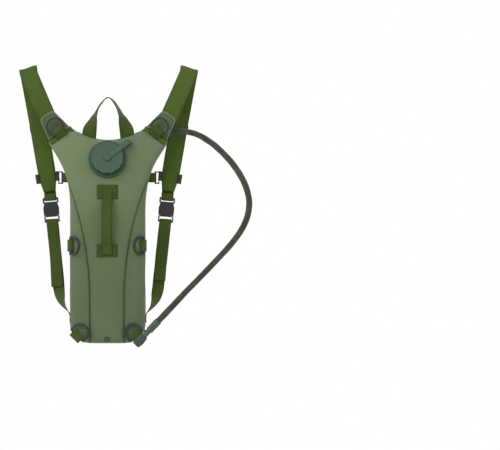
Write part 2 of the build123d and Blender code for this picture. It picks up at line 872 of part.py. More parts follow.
def buckle_plug(plane, strap):
    half = strap / 2 + buckle_wall
    mouth = socket_low - buckle_gap
    with BuildPart() as plug:
        with BuildSketch(plane):
            with Locations((0, mouth)):
                Rectangle(2 * half, mouth - plug_low, align=(Align.CENTER, Align.MAX))
            with Locations((0, plug_low + bar_height)):
                Rectangle(strap + 1.5, 7.0, align=(Align.CENTER, Align.MIN), mode=Mode.SUBTRACT)
        extrude(amount=bar_thickness / 2, both=True)
        with BuildSketch(plane):
            with Locations((0, mouth - 1.0)):
                Rectangle(strap - 1.0, 5.5, align=(Align.CENTER, Align.MIN))
                Rectangle(4.0, 19.0, align=(Align.CENTER, Align.MIN))
            for side in side_names:
                with BuildLine():
                    Polyline(
                        (side * (half - 8.5), mouth + 4.0),
                        (side * (half - 4.5), mouth + 4.0),
                        (side * (half - 4.0), -2.0),
                        (side * (half - 0.4), 0.0),
                        (side * (half - 0.4), 6.0),
                        (side * (half - 4.4), 9.0),
                        (side * (half - 7.0), 9.0),
                        close=True,
                    )
                make_face()
        extrude(amount=cavity_depth / 2 - 0.4, both=True)
    return plug.part


# Shoulder straps, their webbing, buckles and lower straps, one set on each side
tail_ends = {-1: 117.0, 1: 130.0}
for side, side_name in side_names.items():
    rising = leaning(side, 22.8)
    folded = leaning(side, 18.2)
    falling = leaning(side, falling_lean)
    points = [spot(side * 124.0, 1.6, 464.0), spot(side * 131.0, 1.6, 480.0), spot(side * 166.5, 17.5, 562.0)]
    fold = [(crown[1] - crown_fold * math.cos(a), crown[2] + crown_fold * math.sin(a)) for a in half_turn]
    points += [spot(side * crown[0], y, height) for y, height in fold]
    points += [spot(side * 165.0, strap_y - 1.0, 548.0), spot(side * 139.0, strap_y, 404.0)]
    points += [spot(side * 126.7, strap_y, 330.0), spot(side * 124.7, strap_y, 318.0)]
    across = [rising] * 3 + [folded] * len(half_turn) + [falling] * 4
    strap = webbing(points, across, strap_width, strap_thickness, webbing_width)
    save(strap, f"shoulder_strap_{side_name}")

    buckle = Plane(
        origin=spot(side * 121.5, strap_y, 279.0),
        x_dir=leaning(side, buckle_lean),
        z_dir=(0, -1, 0),
    )
    save(buckle_socket(buckle, webbing_width), f"shoulder_socket_{side_name}")
    save(buckle_plug(buckle, webbing_width), f"shoulder_plug_{side_name}")

    sewn_y = strap_y + strap_thickness / 2 + webbing_thickness / 2 + 0.05
    points = [spot(side * 126.4, sewn_y, 329.5), spot(side * 124.6, sewn_y, 318.0)]
    points += wrap(buckle, socket_high - bar_height / 2, wrap_gap, -1)
    points += [spot(side * 123.8, strap_y - wrap_gap, 314.0)]
    across = [leaning(side, buckle_lean)] * len(points)
    save(webbing(points, across, webbing_width, webbing_thickness), f"shoulder_webbing_{side_name}")

    hung = [
        (body_width / 2 + 1.0, -2.0, 42.0, 90),
        (body_width / 2 + 1.0, -2.0, 56.0, 90),
        (82.5, -2.0, 64.0, 90),
        (91.0, 3.0, 76.0, 75),
        (99.0, 9.0, 92.0, 45),
        (104.0, 15.0, 112.0, 15),
        (107.0, 21.0, 140.0, 0),
        (111.6, 28.0, 180.0, 0),
        (117.8, strap_y + wrap_gap, 240.0, 0),
    ]
    tail = [
        (117.6, strap_y - wrap_gap - 3.5, 240.0),
        (111.0, 19.5, 178.0),
        (107.5, 12.5, tail_ends[side]),
    ]
    points = [spot(side * x, y, height) for x, y, height, turn in hung]
    points += wrap(buckle, plug_low + bar_height / 2, wrap_gap, 1)
    points += [spot(side * x, y, height) for x, y, height in tail]
    across = [Vector(math.cos(math.radians(t)), side * math.sin(math.radians(t)), 0) for *place, t in hung]
    across += [leaning(side, buckle_lean)] * (len(points) - len(hung))
    save(webbing(points, across, webbing_width, webbing_thickness), f"lower_strap_{side_name}")


# D-rings in sewn webbing tabs. On each ring's plane the bar lies along x at the origin,
# the ring reaches out along y, and z points away from the fabric.
ring_half = ring_inside / 2
bar_reach = math.hypot(ring_rim, ring_thickness) / 2
tab_gap = (bar_reach + ring_play + webbing_thickness / 2) * wrap_slack
tab_lift = webbing_thickness / 2 + 0.05
tab_rise = tab_gap + tab_lift
doubled_lift = tab_lift + webbing_thickness + 0.05
tail_runs = [tab_length * share for share in (0.3, 0.45, 0.6, 0.8, 1)]
tail_lifts = [tab_rise + 2.9, doubled_lift + 2, doubled_lift + 0.5, doubled_lift, doubled_lift]


def d_ring(plane):
    outer = ring_half + ring_rim
    with BuildPart() as ring:
        with BuildSketch(plane):
            with BuildLine():
                Polyline(
                    (-outer, shoulder_height),
                    (-outer, -ring_rim / 2),
                    (outer, -ring_rim / 2),
                    (outer, shoulder_height),
                )
                ThreePointArc((outer, shoulder_height), (0, ring_reach), (-outer, shoulder_height))
            make_face()
            with BuildLine():
                Polyline(
                    (-ring_half, shoulder_height),
                    (-ring_half, ring_rim / 2),
                    (ring_half, ring_rim / 2),
                    (ring_half, shoulder_height),
                )
                ThreePointArc(
                    (ring_half, shoulder_height),
                    (0, ring_reach - ring_rim),
                    (-ring_half, shoulder_height),
                )
            make_face(mode=Mode.SUBTRACT)
        extrude(amount=ring_thickness / 2, both=True)
    return ring.part


# A place on a tab's tail, a run behind the bar and a lift above fabric that is flat and then bends away
def tail_place(plane, run, lift, flat, bend):
    turn = min(max(run - flat, 0) / bend, math.pi / 2)
    straight = max(run - flat - bend * math.pi / 2, 0)
    y = -min(run, flat) - (bend + lift) * math.sin(turn)
    z = (bend + lift) * math.cos(turn) - bend - straight - tab_rise
    return plane.from_local_coords(Vector(0, y, z))


def ring_tab(plane, flat, bend):
    points = [tail_place(plane, run, tab_lift, flat, bend) for run in reversed(tail_runs)]
    points += wrap(plane, 0, tab_gap, 1)
    points += [tail_place(plane, run, lift, flat, bend) for run, lift in zip(tail_runs, tail_lifts)]
    return webbing(points, [plane.x_dir] * len(points), webbing_width, webbing_thickness)


# The planes of the rings on one side of the pack
def ring_planes(side):
    wing_x, wing_height = wing_point(wing_run / 2 - 2.0, 9.0)
    falling = Vector(-side * math.sin(math.radians(falling_lean)), 0, -math.cos(math.radians(falling_lean)))
    forward = math.cos(math.radians(corner_ring_turn))
    outward = math.sin(math.radians(corner_ring_turn))
    side_out = Vector(side * outward, -forward, 0)
    side_axis = Vector(side * (body_width / 2 - front_round), front_y + front_round, level(side_ring_height))
    low = math.sqrt(0.5)
    inset = low * (base_corner - base_edge_flat - base_edge_bend)
    base_bar = spot(side * (body_width / 2 - base_corner + inset), front_y - tab_rise, base_corner - inset)
    return {
        "wing": Plane(
            origin=spot(side * wing_x, wing_front_y - tab_rise, wing_height),
            x_dir=(wing_along[0], 0, side * wing_along[1]),
            z_dir=(0, -1, 0),
        ),
        "strap": Plane(
            origin=spot(side * strap_ring_x, strap_y + strap_thickness / 2 + tab_rise, strap_ring_height),
            x_dir=falling.cross(Vector(0, 1, 0)),
            z_dir=(0, 1, 0),
        ),
        "side": Plane(
            origin=side_axis + side_out * (front_round + tab_rise),
            x_dir=(0, 0, side),
            z_dir=side_out,
        ),
        "base": Plane(
            origin=base_bar,
            x_dir=(low, 0, side * low),
            z_dir=(0, -1, 0),
        ),
    }


for side, side_name in side_names.items():
    for place, plane in ring_planes(side).items():
        save(d_ring(plane), f"{place}_ring_{side_name}")
fabric_under = {
    "wing": (tab_length, 1),
    "strap": (tab_length, 1),
    "side": (0, front_round),
    "base": (base_edge_flat, base_edge_bend),
}
for place, (flat, bend) in fabric_under.items():
    with BuildPart() as ring_tabs:
        for side in side_names:
            add(ring_tab(ring_planes(side)[place], flat, bend))
        if flat < tab_length:
            add(carrier_outside, mode=Mode.SUBTRACT)
    save(ring_tabs.part, f"{place}_ring_tabs")

# Sternum strap: a slider round each shoulder strap, webbing, and a buckle in the middle
slider_half = strap_width / 2 + slider_side_play + slider_wall
slider_depth = strap_thickness + 2 * (slider_play + slider_wall)
ear_center = slider_center - slider_half - ear_slot - ear_bar / 2
ear_corner = math.hypot(ear_bar, ear_bar) / 2
ear_gap = (ear_corner + bar_clearance + webbing_thickness / 2) * wrap_slack
sternum_plane = Plane(origin=spot(0, strap_y, sternum_height), x_dir=(0, 0, 1), z_dir=(0, -1, 0))
save(buckle_socket(sternum_plane, sternum_width), "sternum_socket")
save(buckle_plug(sternum_plane, sternum_width), "sternum_plug")
for side, side_name in side_names.items():
    lean = leaning(side, falling_lean)
    center = spot(side * slider_center, strap_y, sternum_height)
    through = Plane(origin=center, x_dir=lean, z_dir=lean.cross(Vector(0, 1, 0)))
    ear_width = ear_slot + ear_bar
    with BuildPart() as slider:
        with BuildSketch(through):
            RectangleRounded(2 * slider_half, slider_depth, slider_wall)
            Rectangle(2 * (slider_half - slider_wall), strap_thickness + 2 * slider_play, mode=Mode.SUBTRACT)
            with Locations((0, -slider_depth / 2)):
                Rectangle(2 * slider_opening, slider_depth - slider_wall, mode=Mode.SUBTRACT)
        extrude(amount=slider_height / 2, both=True)
        with BuildSketch(facing(strap_y)):
            ear_middle = slider_center - slider_half + (ear_overlap - ear_width) / 2
            with Locations(at(side * ear_middle, sternum_height)):
                Rectangle(ear_width + ear_overlap, sternum_width + ear_play + 5.0)
            with Locations(at(side * (ear_center + (ear_bar + ear_slot) / 2), sternum_height)):
                Rectangle(ear_slot, sternum_width + ear_play, mode=Mode.SUBTRACT)
        extrude(amount=ear_bar / 2, both=True)
    save(slider.part, f"strap_slider_{side_name}")

    bar = socket_high - bar_height / 2 if side < 0 else -(plug_low + bar_height / 2)
    points = [spot(side * (bar + 14.0), strap_y - wrap_gap, sternum_height)]
    for a in half_turn:
        points += [spot(side * (bar - wrap_gap * math.sin(a)), strap_y - wrap_gap * math.cos(a), sternum_height)]
    points += [spot(side * (ear_center - 8.0), strap_y + ear_gap, sternum_height)]
    for a in half_turn:
        points += [spot(side * (ear_center + ear_gap * math.sin(a)), strap_y + ear_gap * math.cos(a), sternum_height)]
    points += [spot(side * (ear_center - 20.0), strap_y - ear_gap, sternum_height)]
    across = [Vector(0, 0, 1)] * len(points)
    save(webbing(points, across, sternum_width, webbing_thickness), f"sternum_strap_{side_name}")
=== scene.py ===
import math

import bmesh
import bpy
import numpy as np
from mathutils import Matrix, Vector, noise
from mathutils.bvhtree import BVHTree


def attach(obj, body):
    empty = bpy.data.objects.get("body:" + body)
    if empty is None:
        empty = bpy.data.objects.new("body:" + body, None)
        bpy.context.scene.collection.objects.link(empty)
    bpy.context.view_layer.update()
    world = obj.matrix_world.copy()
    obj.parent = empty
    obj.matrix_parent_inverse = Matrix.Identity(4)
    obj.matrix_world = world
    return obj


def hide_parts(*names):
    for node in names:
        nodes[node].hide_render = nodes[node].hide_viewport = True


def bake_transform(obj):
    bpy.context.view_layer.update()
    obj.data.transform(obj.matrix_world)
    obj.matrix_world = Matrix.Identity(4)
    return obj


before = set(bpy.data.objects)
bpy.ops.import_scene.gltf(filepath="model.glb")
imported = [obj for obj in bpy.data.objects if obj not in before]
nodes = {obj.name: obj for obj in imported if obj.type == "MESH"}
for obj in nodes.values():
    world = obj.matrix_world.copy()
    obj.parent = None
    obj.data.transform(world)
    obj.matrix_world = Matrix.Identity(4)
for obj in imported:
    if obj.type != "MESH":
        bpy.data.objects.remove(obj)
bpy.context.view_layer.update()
scene = bpy.context.scene
sides = {"left": -1, "right": 1}

mm = 0.001
hangHeight = 514.0  # the hook point above the base of the pack
backY = 16.0  # the flat side, against the wearer


def place(x, y, height):  # millimetres, with the height above the base
    return Vector((x * mm, y * mm, (height - hangHeight) * mm))


# Camera and light

cameraPlan = {"x": 0.298, "z": -0.267, "distance": 6.0, "lens": 205.7}

camera = bpy.data.objects.new("camera", bpy.data.cameras.new("camera"))
camera.location = (cameraPlan["x"], -cameraPlan["distance"], cameraPlan["z"])
camera.rotation_euler = (math.radians(90), 0, 0)
camera.data.lens = cameraPlan["lens"]
camera.data.clip_end = 60
scene.collection.objects.link(camera)
scene.camera = camera
scene.view_settings.view_transform = "Standard"

studio = {
    "worldLight": 0.62,
    "lamps": [  # name, place, size, power
        ("softboxLeft", (-2.6, -3.2, 2.4), 2.6, 92),
        ("softboxRight", (3.0, -2.4, 0.9), 2.2, 22),
        ("softboxBack", (0.4, 3.2, 2.2), 2.6, 62),
    ],
    "floorHeight": -0.86,
    "floorSize": 14,
}


def whiteForCamera(tree, shader):  # white to the camera and in reflections, its own look to everything else
    path = tree.nodes.new("ShaderNodeLightPath")
    seen = tree.nodes.new("ShaderNodeMath")
    seen.operation = "MAXIMUM"
    tree.links.new(path.outputs["Is Camera Ray"], seen.inputs[0])
    bright = tree.nodes.new("ShaderNodeMath")
    bright.operation = "MAXIMUM"
    tree.links.new(path.outputs["Is Glossy Ray"], bright.inputs[0])
    tree.links.new(path.outputs["Is Transmission Ray"], bright.inputs[1])
    tree.links.new(bright.outputs[0], seen.inputs[1])
    mix = tree.nodes.new("ShaderNodeMixShader")
    tree.links.new(seen.outputs[0], mix.inputs[0])
    tree.links.new(shader, mix.inputs[1])
    return mix


world = bpy.data.worlds.new("studio")
scene.world = world
world.use_nodes = True
worldTree = world.node_tree
light = worldTree.nodes["Background"]
light.inputs["Strength"].default_value = studio["worldLight"]
light.inputs["Color"].default_value = (1, 1, 1, 1)
white = worldTree.nodes.new("ShaderNodeBackground")
white.inputs["Color"].default_value = (1, 1, 1, 1)
backdropMix = whiteForCamera(worldTree, light.outputs[0])
worldTree.links.new(white.outputs[0], backdropMix.inputs[2])
worldTree.links.new(backdropMix.outputs[0], worldTree.nodes["World Output"].inputs[0])

aim = place(30, 0, 260)
for lampName, lampPlace, size, power in studio["lamps"]:
    lamp = bpy.data.objects.new(lampName, bpy.data.lights.new(lampName, "AREA"))
    lamp.data.size = size
    lamp.data.energy = power
    lamp.location = lampPlace
    lamp.rotation_euler = (aim - Vector(lampPlace)).to_track_quat("-Z", "Y").to_euler()
    scene.collection.objects.link(lamp)

floorMesh = bpy.data.meshes.new("floor")
half = studio["floorSize"] / 2
corners = [(-half, -half), (half, -half), (half, half), (-half, half)]
floorMesh.from_pydata([(x, y, studio["floorHeight"]) for x, y in corners], [], [(0, 1, 2, 3)])
floor = bpy.data.objects.new("floor", floorMesh)
scene.collection.objects.link(floor)
floorPaint = bpy.data.materials.new("floorPaint")
floorPaint.use_nodes = True
floorTree = floorPaint.node_tree
floorShader = floorTree.nodes["Principled BSDF"]
floorShader.inputs["Base Color"].default_value = (0.82, 0.82, 0.82, 1)
floorShader.inputs["Roughness"].default_value = 0.9
floorGlow = floorTree.nodes.new("ShaderNodeEmission")
floorMix = whiteForCamera(floorTree, floorShader.outputs[0])
floorTree.links.new(floorGlow.outputs[0], floorMix.inputs[2])
floorTree.links.new(floorMix.outputs[0], floorTree.nodes["Material Output"].inputs[0])
floorMesh.materials.append(floorPaint)
print("studio ready")


# Materials


def linear(red, green, blue):  # an 8-bit screen colour as the shader wants it
    def part(value):
        value /= 255
        return value / 12.92 if value <= 0.04045 else ((value + 0.055) / 1.055) ** 2.4

    return (part(red), part(green), part(blue), 1)


def addNode(tree, kind, values=(), **settings):  # a node, its settings and what goes into its sockets
    node = tree.nodes.new("ShaderNode" + kind)
    for key, value in settings.items():
        setattr(node, key, value)
    for socket, value in dict(values).items():
        if isinstance(value, bpy.types.NodeSocket):
            tree.links.new(value, node.inputs[socket])
        else:
            node.inputs[socket].default_value = value
    return node


def sums(tree, operation, first, second=0.0, third=0.0):
    return addNode(tree, "Math", {0: first, 1: second, 2: third}, operation=operation).outputs[0]


def blendColours(tree, share, first, second):
    mix = addNode(tree, "Mix", {0: share, 6: first, 7: second}, data_type="RGBA")
    return mix.outputs[2]


def softNoise(tree, scale, detail=3.0, squeeze=(1, 1, 1)):  # noise over the piece's own place in the pack
    spot = addNode(tree, "TexCoord").outputs["Object"]
    if squeeze != (1, 1, 1):
        spot = addNode(tree, "Mapping", {0: spot, 3: squeeze}).outputs[0]
    cloud = addNode(tree, "TexNoise", {"Vector": spot, "Scale": scale, "Detail": detail})
    return cloud.outputs[0]


def startMaterial(name, roughness, **extra):
    paint = bpy.data.materials.new(name)
    paint.use_nodes = True
    shader = paint.node_tree.nodes["Principled BSDF"]
    shader.inputs["Roughness"].default_value = roughness
    for socket, value in extra.items():
        shader.inputs[socket.replace("_", " ")].default_value = value
    return paint, paint.node_tree, shader


def threads(tree, pitch, rib):  # height and shade of a weave laid along the piece's UV map, which is in metres
    uv = addNode(tree, "SeparateXYZ", {0: addNode(tree, "UVMap", uv_map="cloth").outputs[0]})
    across = sums(tree, "MULTIPLY", uv.outputs[0], math.pi / pitch)
    along = sums(tree, "MULTIPLY", uv.outputs[1], math.pi / pitch)
    if rib:  # webbing: cords along it, tied down in staggered rows
        staggered = sums(tree, "ADD", along, sums(tree, "MULTIPLY", sums(tree, "PINGPONG", across, 6.0), 1.2))
        cords = sums(tree, "ABSOLUTE", sums(tree, "SINE", across))
        ties = sums(tree, "ABSOLUTE", sums(tree, "SINE", staggered))
        return sums(tree, "MULTIPLY", cords, sums(tree, "MULTIPLY_ADD", ties, 0.7, 0.3))
    warp = sums(tree, "ABSOLUTE", sums(tree, "SINE", across))
    weft = sums(tree, "ABSOLUTE", sums(tree, "SINE", along))
    crossed = sums(tree, "MULTIPLY", sums(tree, "SINE", across), sums(tree, "SINE", along))
    over = sums(tree, "GREATER_THAN", crossed, 0.0)
    first = sums(tree, "MULTIPLY", warp, over)
    return sums(tree, "ADD", first, sums(tree, "MULTIPLY", weft, sums(tree, "SUBTRACT", 1.0, over)))


def clothMaterial(name, look):
    paint, tree, shader = startMaterial(name, look["roughness"], Sheen_Weight=look["sheen"], Sheen_Roughness=0.6)
    shader.inputs["Specular IOR Level"].default_value = look["shine"]
    weave = threads(tree, look["pitch"], look["rib"])
    patches = softNoise(tree, look["patchScale"], 4.0)
    spread = addNode(tree, "MapRange", {0: patches, 1: 0.35, 2: 0.65}).outputs[0]
    colour = blendColours(tree, spread, linear(*look["colour"]), linear(*look["worn"]))
    grain = addNode(tree, "MapRange", {0: softNoise(tree, 2200, 2.0), 1: 0.3, 2: 0.7, 3: 0.0, 4: look["grain"]})
    colour = blendColours(tree, grain.outputs[0], colour, linear(*look["shade"]))
    # painted shade in the gaps between the threads of the weave
    threadGapShade = sums(tree, "MULTIPLY", sums(tree, "SUBTRACT", 1.0, weave), look["threadShade"])
    colour = blendColours(tree, threadGapShade, colour, linear(*look["shade"]))
    if "edge" in look:  # painted shade in seams, grooves, creases and along strap edges from the red of the piece's colour layer, and painted highlight on crests and raised parts from its green
        layer = addNode(tree, "VertexColor", layer_name="paintedShading")
        paintedShading = addNode(tree, "SeparateColor", {0: layer.outputs[0]})
        colour = blendColours(tree, paintedShading.outputs[0], colour, linear(*look["edge"]))
        colour = blendColours(tree, paintedShading.outputs[1], colour, linear(*look["paintedHighlight"]))
    tree.links.new(colour, shader.inputs["Base Color"])
    creases = softNoise(tree, look["creaseScale"], 5.0)
    raised = sums(tree, "MULTIPLY", weave, look["pitch"] * 0.35)
    height = sums(tree, "ADD", raised, sums(tree, "MULTIPLY", creases, 0.0012))
    bump = addNode(tree, "Bump", {"Height": height, "Strength": look["bump"], "Distance": 1.0})
    tree.links.new(bump.outputs[0], shader.inputs["Normal"])
    return paint


def mouldedMaterial(name, look):  # plastic or rubber, with rounded edges that catch the light
    paint, tree, shader = startMaterial(name, look["roughness"])
    shader.inputs["Specular IOR Level"].default_value = look["shine"]
    if "clear" in look:
        shader.inputs["Transmission Weight"].default_value = look["clear"]
    rounded = addNode(tree, "Bevel", {0: look["edgeRadius"]}, samples=4)
    flat = addNode(tree, "NewGeometry")
    bent = addNode(tree, "VectorMath", {0: rounded.outputs[0], 1: flat.outputs["Normal"]}, operation="DOT_PRODUCT")
    edge = addNode(tree, "MapRange", {0: bent.outputs["Value"], 1: 0.995, 2: 0.9, 3: 0.0, 4: look["edgeWear"]})
    scuffs = addNode(tree, "MapRange", {0: softNoise(tree, 160, 5.0), 1: 0.4, 2: 0.7}).outputs[0]
    colour = blendColours(tree, scuffs, linear(*look["colour"]), linear(*look["worn"]))
    colour = blendColours(tree, edge.outputs[0], colour, linear(*look["edgeColour"]))
    tree.links.new(colour, shader.inputs["Base Color"])
    least, most = look["roughness"] - 0.08, look["roughness"] + 0.1
    rough = addNode(tree, "MapRange", {0: softNoise(tree, 420, 4.0), 3: least, 4: most})
    tree.links.new(rough.outputs[0], shader.inputs["Roughness"])
    texture = sums(tree, "MULTIPLY", softNoise(tree, look["grainScale"], 2.0), look["grainHeight"])
    bump = addNode(tree, "Bump", {"Height": texture, "Strength": 0.5, "Distance": 1.0, "Normal": rounded.outputs[0]})
    tree.links.new(bump.outputs[0], shader.inputs["Normal"])
    return paint


clothLooks = {
    "fabric": {
        "colour": (100, 118, 82), "worn": (108, 124, 90), "shade": (62, 76, 46), "edge": (58, 70, 42),
        "paintedHighlight": (126, 142, 104), "pitch": 0.00075, "rib": False, "threadShade": 0.35, "grain": 0.3,
        "patchScale": 9, "creaseScale": 26, "roughness": 0.82, "sheen": 0.12, "shine": 0.25, "bump": 0.6,
    },
    "yokeFabric": {
        "colour": (134, 150, 105), "worn": (143, 160, 112), "shade": (88, 102, 64), "edge": (80, 94, 58),
        "paintedHighlight": (150, 166, 122), "pitch": 0.00075, "rib": False, "threadShade": 0.35, "grain": 0.3,
        "patchScale": 9, "creaseScale": 26, "roughness": 0.82, "sheen": 0.12, "shine": 0.25, "bump": 0.6,
    },
    "padFabric": {
        "colour": (60, 74, 49), "worn": (68, 83, 56), "shade": (38, 48, 30), "edge": (36, 46, 29),
        "paintedHighlight": (78, 92, 64), "pitch": 0.0009, "rib": False, "threadShade": 0.4, "grain": 0.3,
        "patchScale": 14, "creaseScale": 40, "roughness": 0.86, "sheen": 0.1, "shine": 0.2, "bump": 0.7,
    },
    "anchorFabric": {
        "colour": (96, 113, 82), "worn": (104, 120, 88), "shade": (58, 72, 46), "edge": (54, 66, 42),
        "paintedHighlight": (112, 128, 96), "pitch": 0.0009, "rib": False, "threadShade": 0.4, "grain": 0.3,
        "patchScale": 18, "creaseScale": 50, "roughness": 0.84, "sheen": 0.1, "shine": 0.22, "bump": 0.7,
    },
    "webbing": {
        "colour": (74, 94, 27), "worn": (84, 104, 36), "shade": (42, 56, 12), "edge": (44, 58, 14),
        "paintedHighlight": (94, 112, 46), "pitch": 0.0011, "rib": True, "threadShade": 0.5, "grain": 0.35,
        "patchScale": 16, "creaseScale": 60, "roughness": 0.72, "sheen": 0.06, "shine": 0.2, "bump": 0.9,
    },
    "strapFabric": {
        "colour": (80, 104, 30), "worn": (90, 114, 40), "shade": (46, 62, 14), "edge": (44, 60, 12),
        "paintedHighlight": (98, 118, 50), "pitch": 0.0012, "rib": True, "threadShade": 0.4, "grain": 0.35,
        "patchScale": 12, "creaseScale": 44, "roughness": 0.78, "sheen": 0.06, "shine": 0.2, "bump": 0.9,
    },
    "sleeve": {
        "colour": (58, 66, 50), "worn": (68, 76, 58), "shade": (30, 36, 24), "edge": (36, 42, 28),
        "paintedHighlight": (84, 92, 74), "pitch": 0.0010, "rib": True, "threadShade": 0.5, "grain": 0.3,
        "patchScale": 14, "creaseScale": 70, "roughness": 0.7, "sheen": 0.12, "shine": 0.3, "bump": 0.9,
    },
}
cloths = {name: clothMaterial(name, look) for name, look in clothLooks.items()}

mouldedLooks = {
    "capPlastic": {
        "colour": (46, 75, 56), "worn": (54, 84, 65), "edgeColour": (84, 110, 92), "edgeWear": 0.5,
        "edgeRadius": 0.0009, "roughness": 0.5, "shine": 0.5, "grainScale": 900, "grainHeight": 0.00006,
    },
    "collarPlastic": {
        "colour": (48, 70, 48), "worn": (56, 80, 58), "edgeColour": (80, 100, 80), "edgeWear": 0.45,
        "edgeRadius": 0.0009, "roughness": 0.52, "shine": 0.45, "grainScale": 900, "grainHeight": 0.00006,
    },
    "leashRubber": {
        "colour": (58, 86, 66), "worn": (66, 95, 76), "edgeColour": (98, 122, 104), "edgeWear": 0.5,
        "edgeRadius": 0.0007, "roughness": 0.6, "shine": 0.4, "grainScale": 900, "grainHeight": 0.00005,
    },
    "bucklePlastic": {
        "colour": (13, 20, 20), "worn": (20, 28, 29), "edgeColour": (72, 80, 84), "edgeWear": 0.55,
        "edgeRadius": 0.0008, "roughness": 0.42, "shine": 0.5, "grainScale": 1400, "grainHeight": 0.00007,
    },
    "ringPlastic": {
        "colour": (20, 28, 26), "worn": (30, 38, 36), "edgeColour": (84, 94, 92), "edgeWear": 0.5,
        "edgeRadius": 0.0012, "roughness": 0.4, "shine": 0.5, "grainScale": 1400, "grainHeight": 0.00006,
    },
    "valvePlastic": {
        "colour": (60, 77, 64), "worn": (70, 88, 75), "edgeColour": (106, 120, 108), "edgeWear": 0.5,
        "edgeRadius": 0.0007, "roughness": 0.48, "shine": 0.45, "grainScale": 1200, "grainHeight": 0.00006,
    },
    "biteSilicone": {
        "colour": (46, 68, 56), "worn": (56, 80, 66), "edgeColour": (86, 106, 92), "edgeWear": 0.4,
        "edgeRadius": 0.0012, "roughness": 0.55, "shine": 0.4, "grainScale": 700, "grainHeight": 0.00008,
    },
    "sealRubber": {
        "colour": (26, 28, 27), "worn": (34, 36, 35), "edgeColour": (54, 58, 56), "edgeWear": 0.3,
        "edgeRadius": 0.0004, "roughness": 0.7, "shine": 0.3, "grainScale": 900, "grainHeight": 0.00005,
    },
    "film": {
        "colour": (150, 176, 188), "worn": (164, 188, 198), "edgeColour": (196, 212, 218), "edgeWear": 0.3,
        "edgeRadius": 0.0006, "roughness": 0.25, "shine": 0.5, "grainScale": 300, "grainHeight": 0.00012, "clear": 0.4,
    },
    "innerTube": {
        "colour": (120, 140, 146), "worn": (134, 152, 158), "edgeColour": (170, 184, 188), "edgeWear": 0.2,
        "edgeRadius": 0.0006, "roughness": 0.3, "shine": 0.5, "grainScale": 300, "grainHeight": 0.00006,
    },
    "piping": {
        "colour": (56, 68, 42), "worn": (64, 78, 50), "edgeColour": (76, 90, 60), "edgeWear": 0.2,
        "edgeRadius": 0.0003, "roughness": 0.8, "shine": 0.2, "grainScale": 2400, "grainHeight": 0.0002,
    },
    "thread": {
        "colour": (52, 66, 30), "worn": (60, 74, 36), "edgeColour": (84, 98, 56), "edgeWear": 0.2,
        "edgeRadius": 0.0001, "roughness": 0.7, "shine": 0.3, "grainScale": 5000, "grainHeight": 0.0001,
    },
}
moulded = {name: mouldedMaterial(name, look) for name, look in mouldedLooks.items()}

metalPaint, metalTree, metalShader = startMaterial("eyeletMetal", 0.35, Metallic=1.0)
metalTree.links.new(
    blendColours(metalTree, softNoise(metalTree, 500, 4.0), linear(58, 60, 56), linear(96, 98, 92)),
    metalShader.inputs["Base Color"],
)
print("materials ready")

# CAD nodes whose shape is right keep it, and get their finish

finishes = {
    "capPlastic": ["cap", "leash_button"],
    "collarPlastic": ["port_collar"],
    "sealRubber": ["cap_gasket"],
    "bucklePlastic": ["sternum_socket", "sternum_plug"],
    "ringPlastic": [],
    "valvePlastic": ["hose_connector", "shutoff_valve", "shutoff_lever"],
    "biteSilicone": ["bite_valve"],
    "innerTube": ["outlet_fitting", "inner_hose"],
}
for sideName in sides:
    finishes["bucklePlastic"] += [f"shoulder_socket_{sideName}", f"shoulder_plug_{sideName}"]
    finishes["bucklePlastic"] += [f"strap_slider_{sideName}"]
    finishes["ringPlastic"] += [f"{where}_ring_{sideName}" for where in ("wing", "strap", "side", "base")]
finishes["metal"] = ["drain_eyelet"]
for finish, names in finishes.items():
    paint = metalPaint if finish == "metal" else moulded[finish]
    for name in names:
        node = nodes[name]
        node.data.materials.clear()
        node.data.materials.append(paint)
print("CAD nodes finished")


# Mesh helpers


def finishMesh(name, vertices, faces, paint, uvs=None, paintedShading=None):
    mesh = bpy.data.meshes.new(name)
    mesh.from_pydata([tuple(v) for v in vertices], [], faces)
    if uvs is not None:
        layer = mesh.uv_layers.new(name="cloth")
        for loop in mesh.loops:
            layer.data[loop.index].uv = uvs[loop.vertex_index]
    if paintedShading is not None:  # red is painted shade in seams, grooves, creases and along edges; green is painted highlight on crests and raised parts
        shades = mesh.color_attributes.new("paintedShading", "FLOAT_COLOR", "POINT")
        for index, (dark, pale) in enumerate(paintedShading):
            shades.data[index].color = (dark, pale, 0, 1)
    mesh.materials.append(paint)
    for face in mesh.polygons:
        face.use_smooth = True
    mesh.validate()
    mesh.update()
    piece = bpy.data.objects.new(name, mesh)
    scene.collection.objects.link(piece)
    return piece


def facingOut(piece):  # turns the faces of a closed piece outwards
    work = bmesh.new()
    work.from_mesh(piece.data)
    bmesh.ops.recalc_face_normals(work, faces=work.faces)
    work.to_mesh(piece.data)
    work.free()
    return piece


def joined(name, pieces):
    work = bmesh.new()
    for piece in pieces:
        work.from_mesh(piece.data)
    target = pieces[0]
    work.to_mesh(target.data)
    work.free()
    for piece in pieces[1:]:
        bpy.data.objects.remove(piece)
    target.name = name
    return target


def bandFaces(rows, rim, first=0):  # faces between the rows of a closed rim
    faces = []
    for row in range(rows - 1):
        for turn in range(rim):
            a, b = first + row * rim + turn, first + row * rim + (turn + 1) % rim
            faces.append((a, b, b + rim, a + rim))
    return faces


def tubeFaces(rows, rim, first=0):  # the same, with both ends closed
    start, end = range(first, first + rim), range(first + (rows - 1) * rim, first + rows * rim)
    return bandFaces(rows, rim, first) + [tuple(reversed(start)), tuple(end)]


def gridFaces(rows, wide):  # faces between the rows of an open sheet, each this many places wide
    corners = [row * wide + step for row in range(rows - 1) for step in range(wide - 1)]
    return [(a, a + 1, a + 1 + wide, a + wide) for a in corners]


def distances(path):  # how far along a path each of its places is
    return np.cumsum([0] + [(b - a).length for a, b in zip(path, path[1:])])


def placesAlong(path, walked, even):  # the places at the even distances along a path
    return [Vector(p) for p in zip(*[np.interp(even, walked, [q[k] for q in path]) for k in range(3)])]


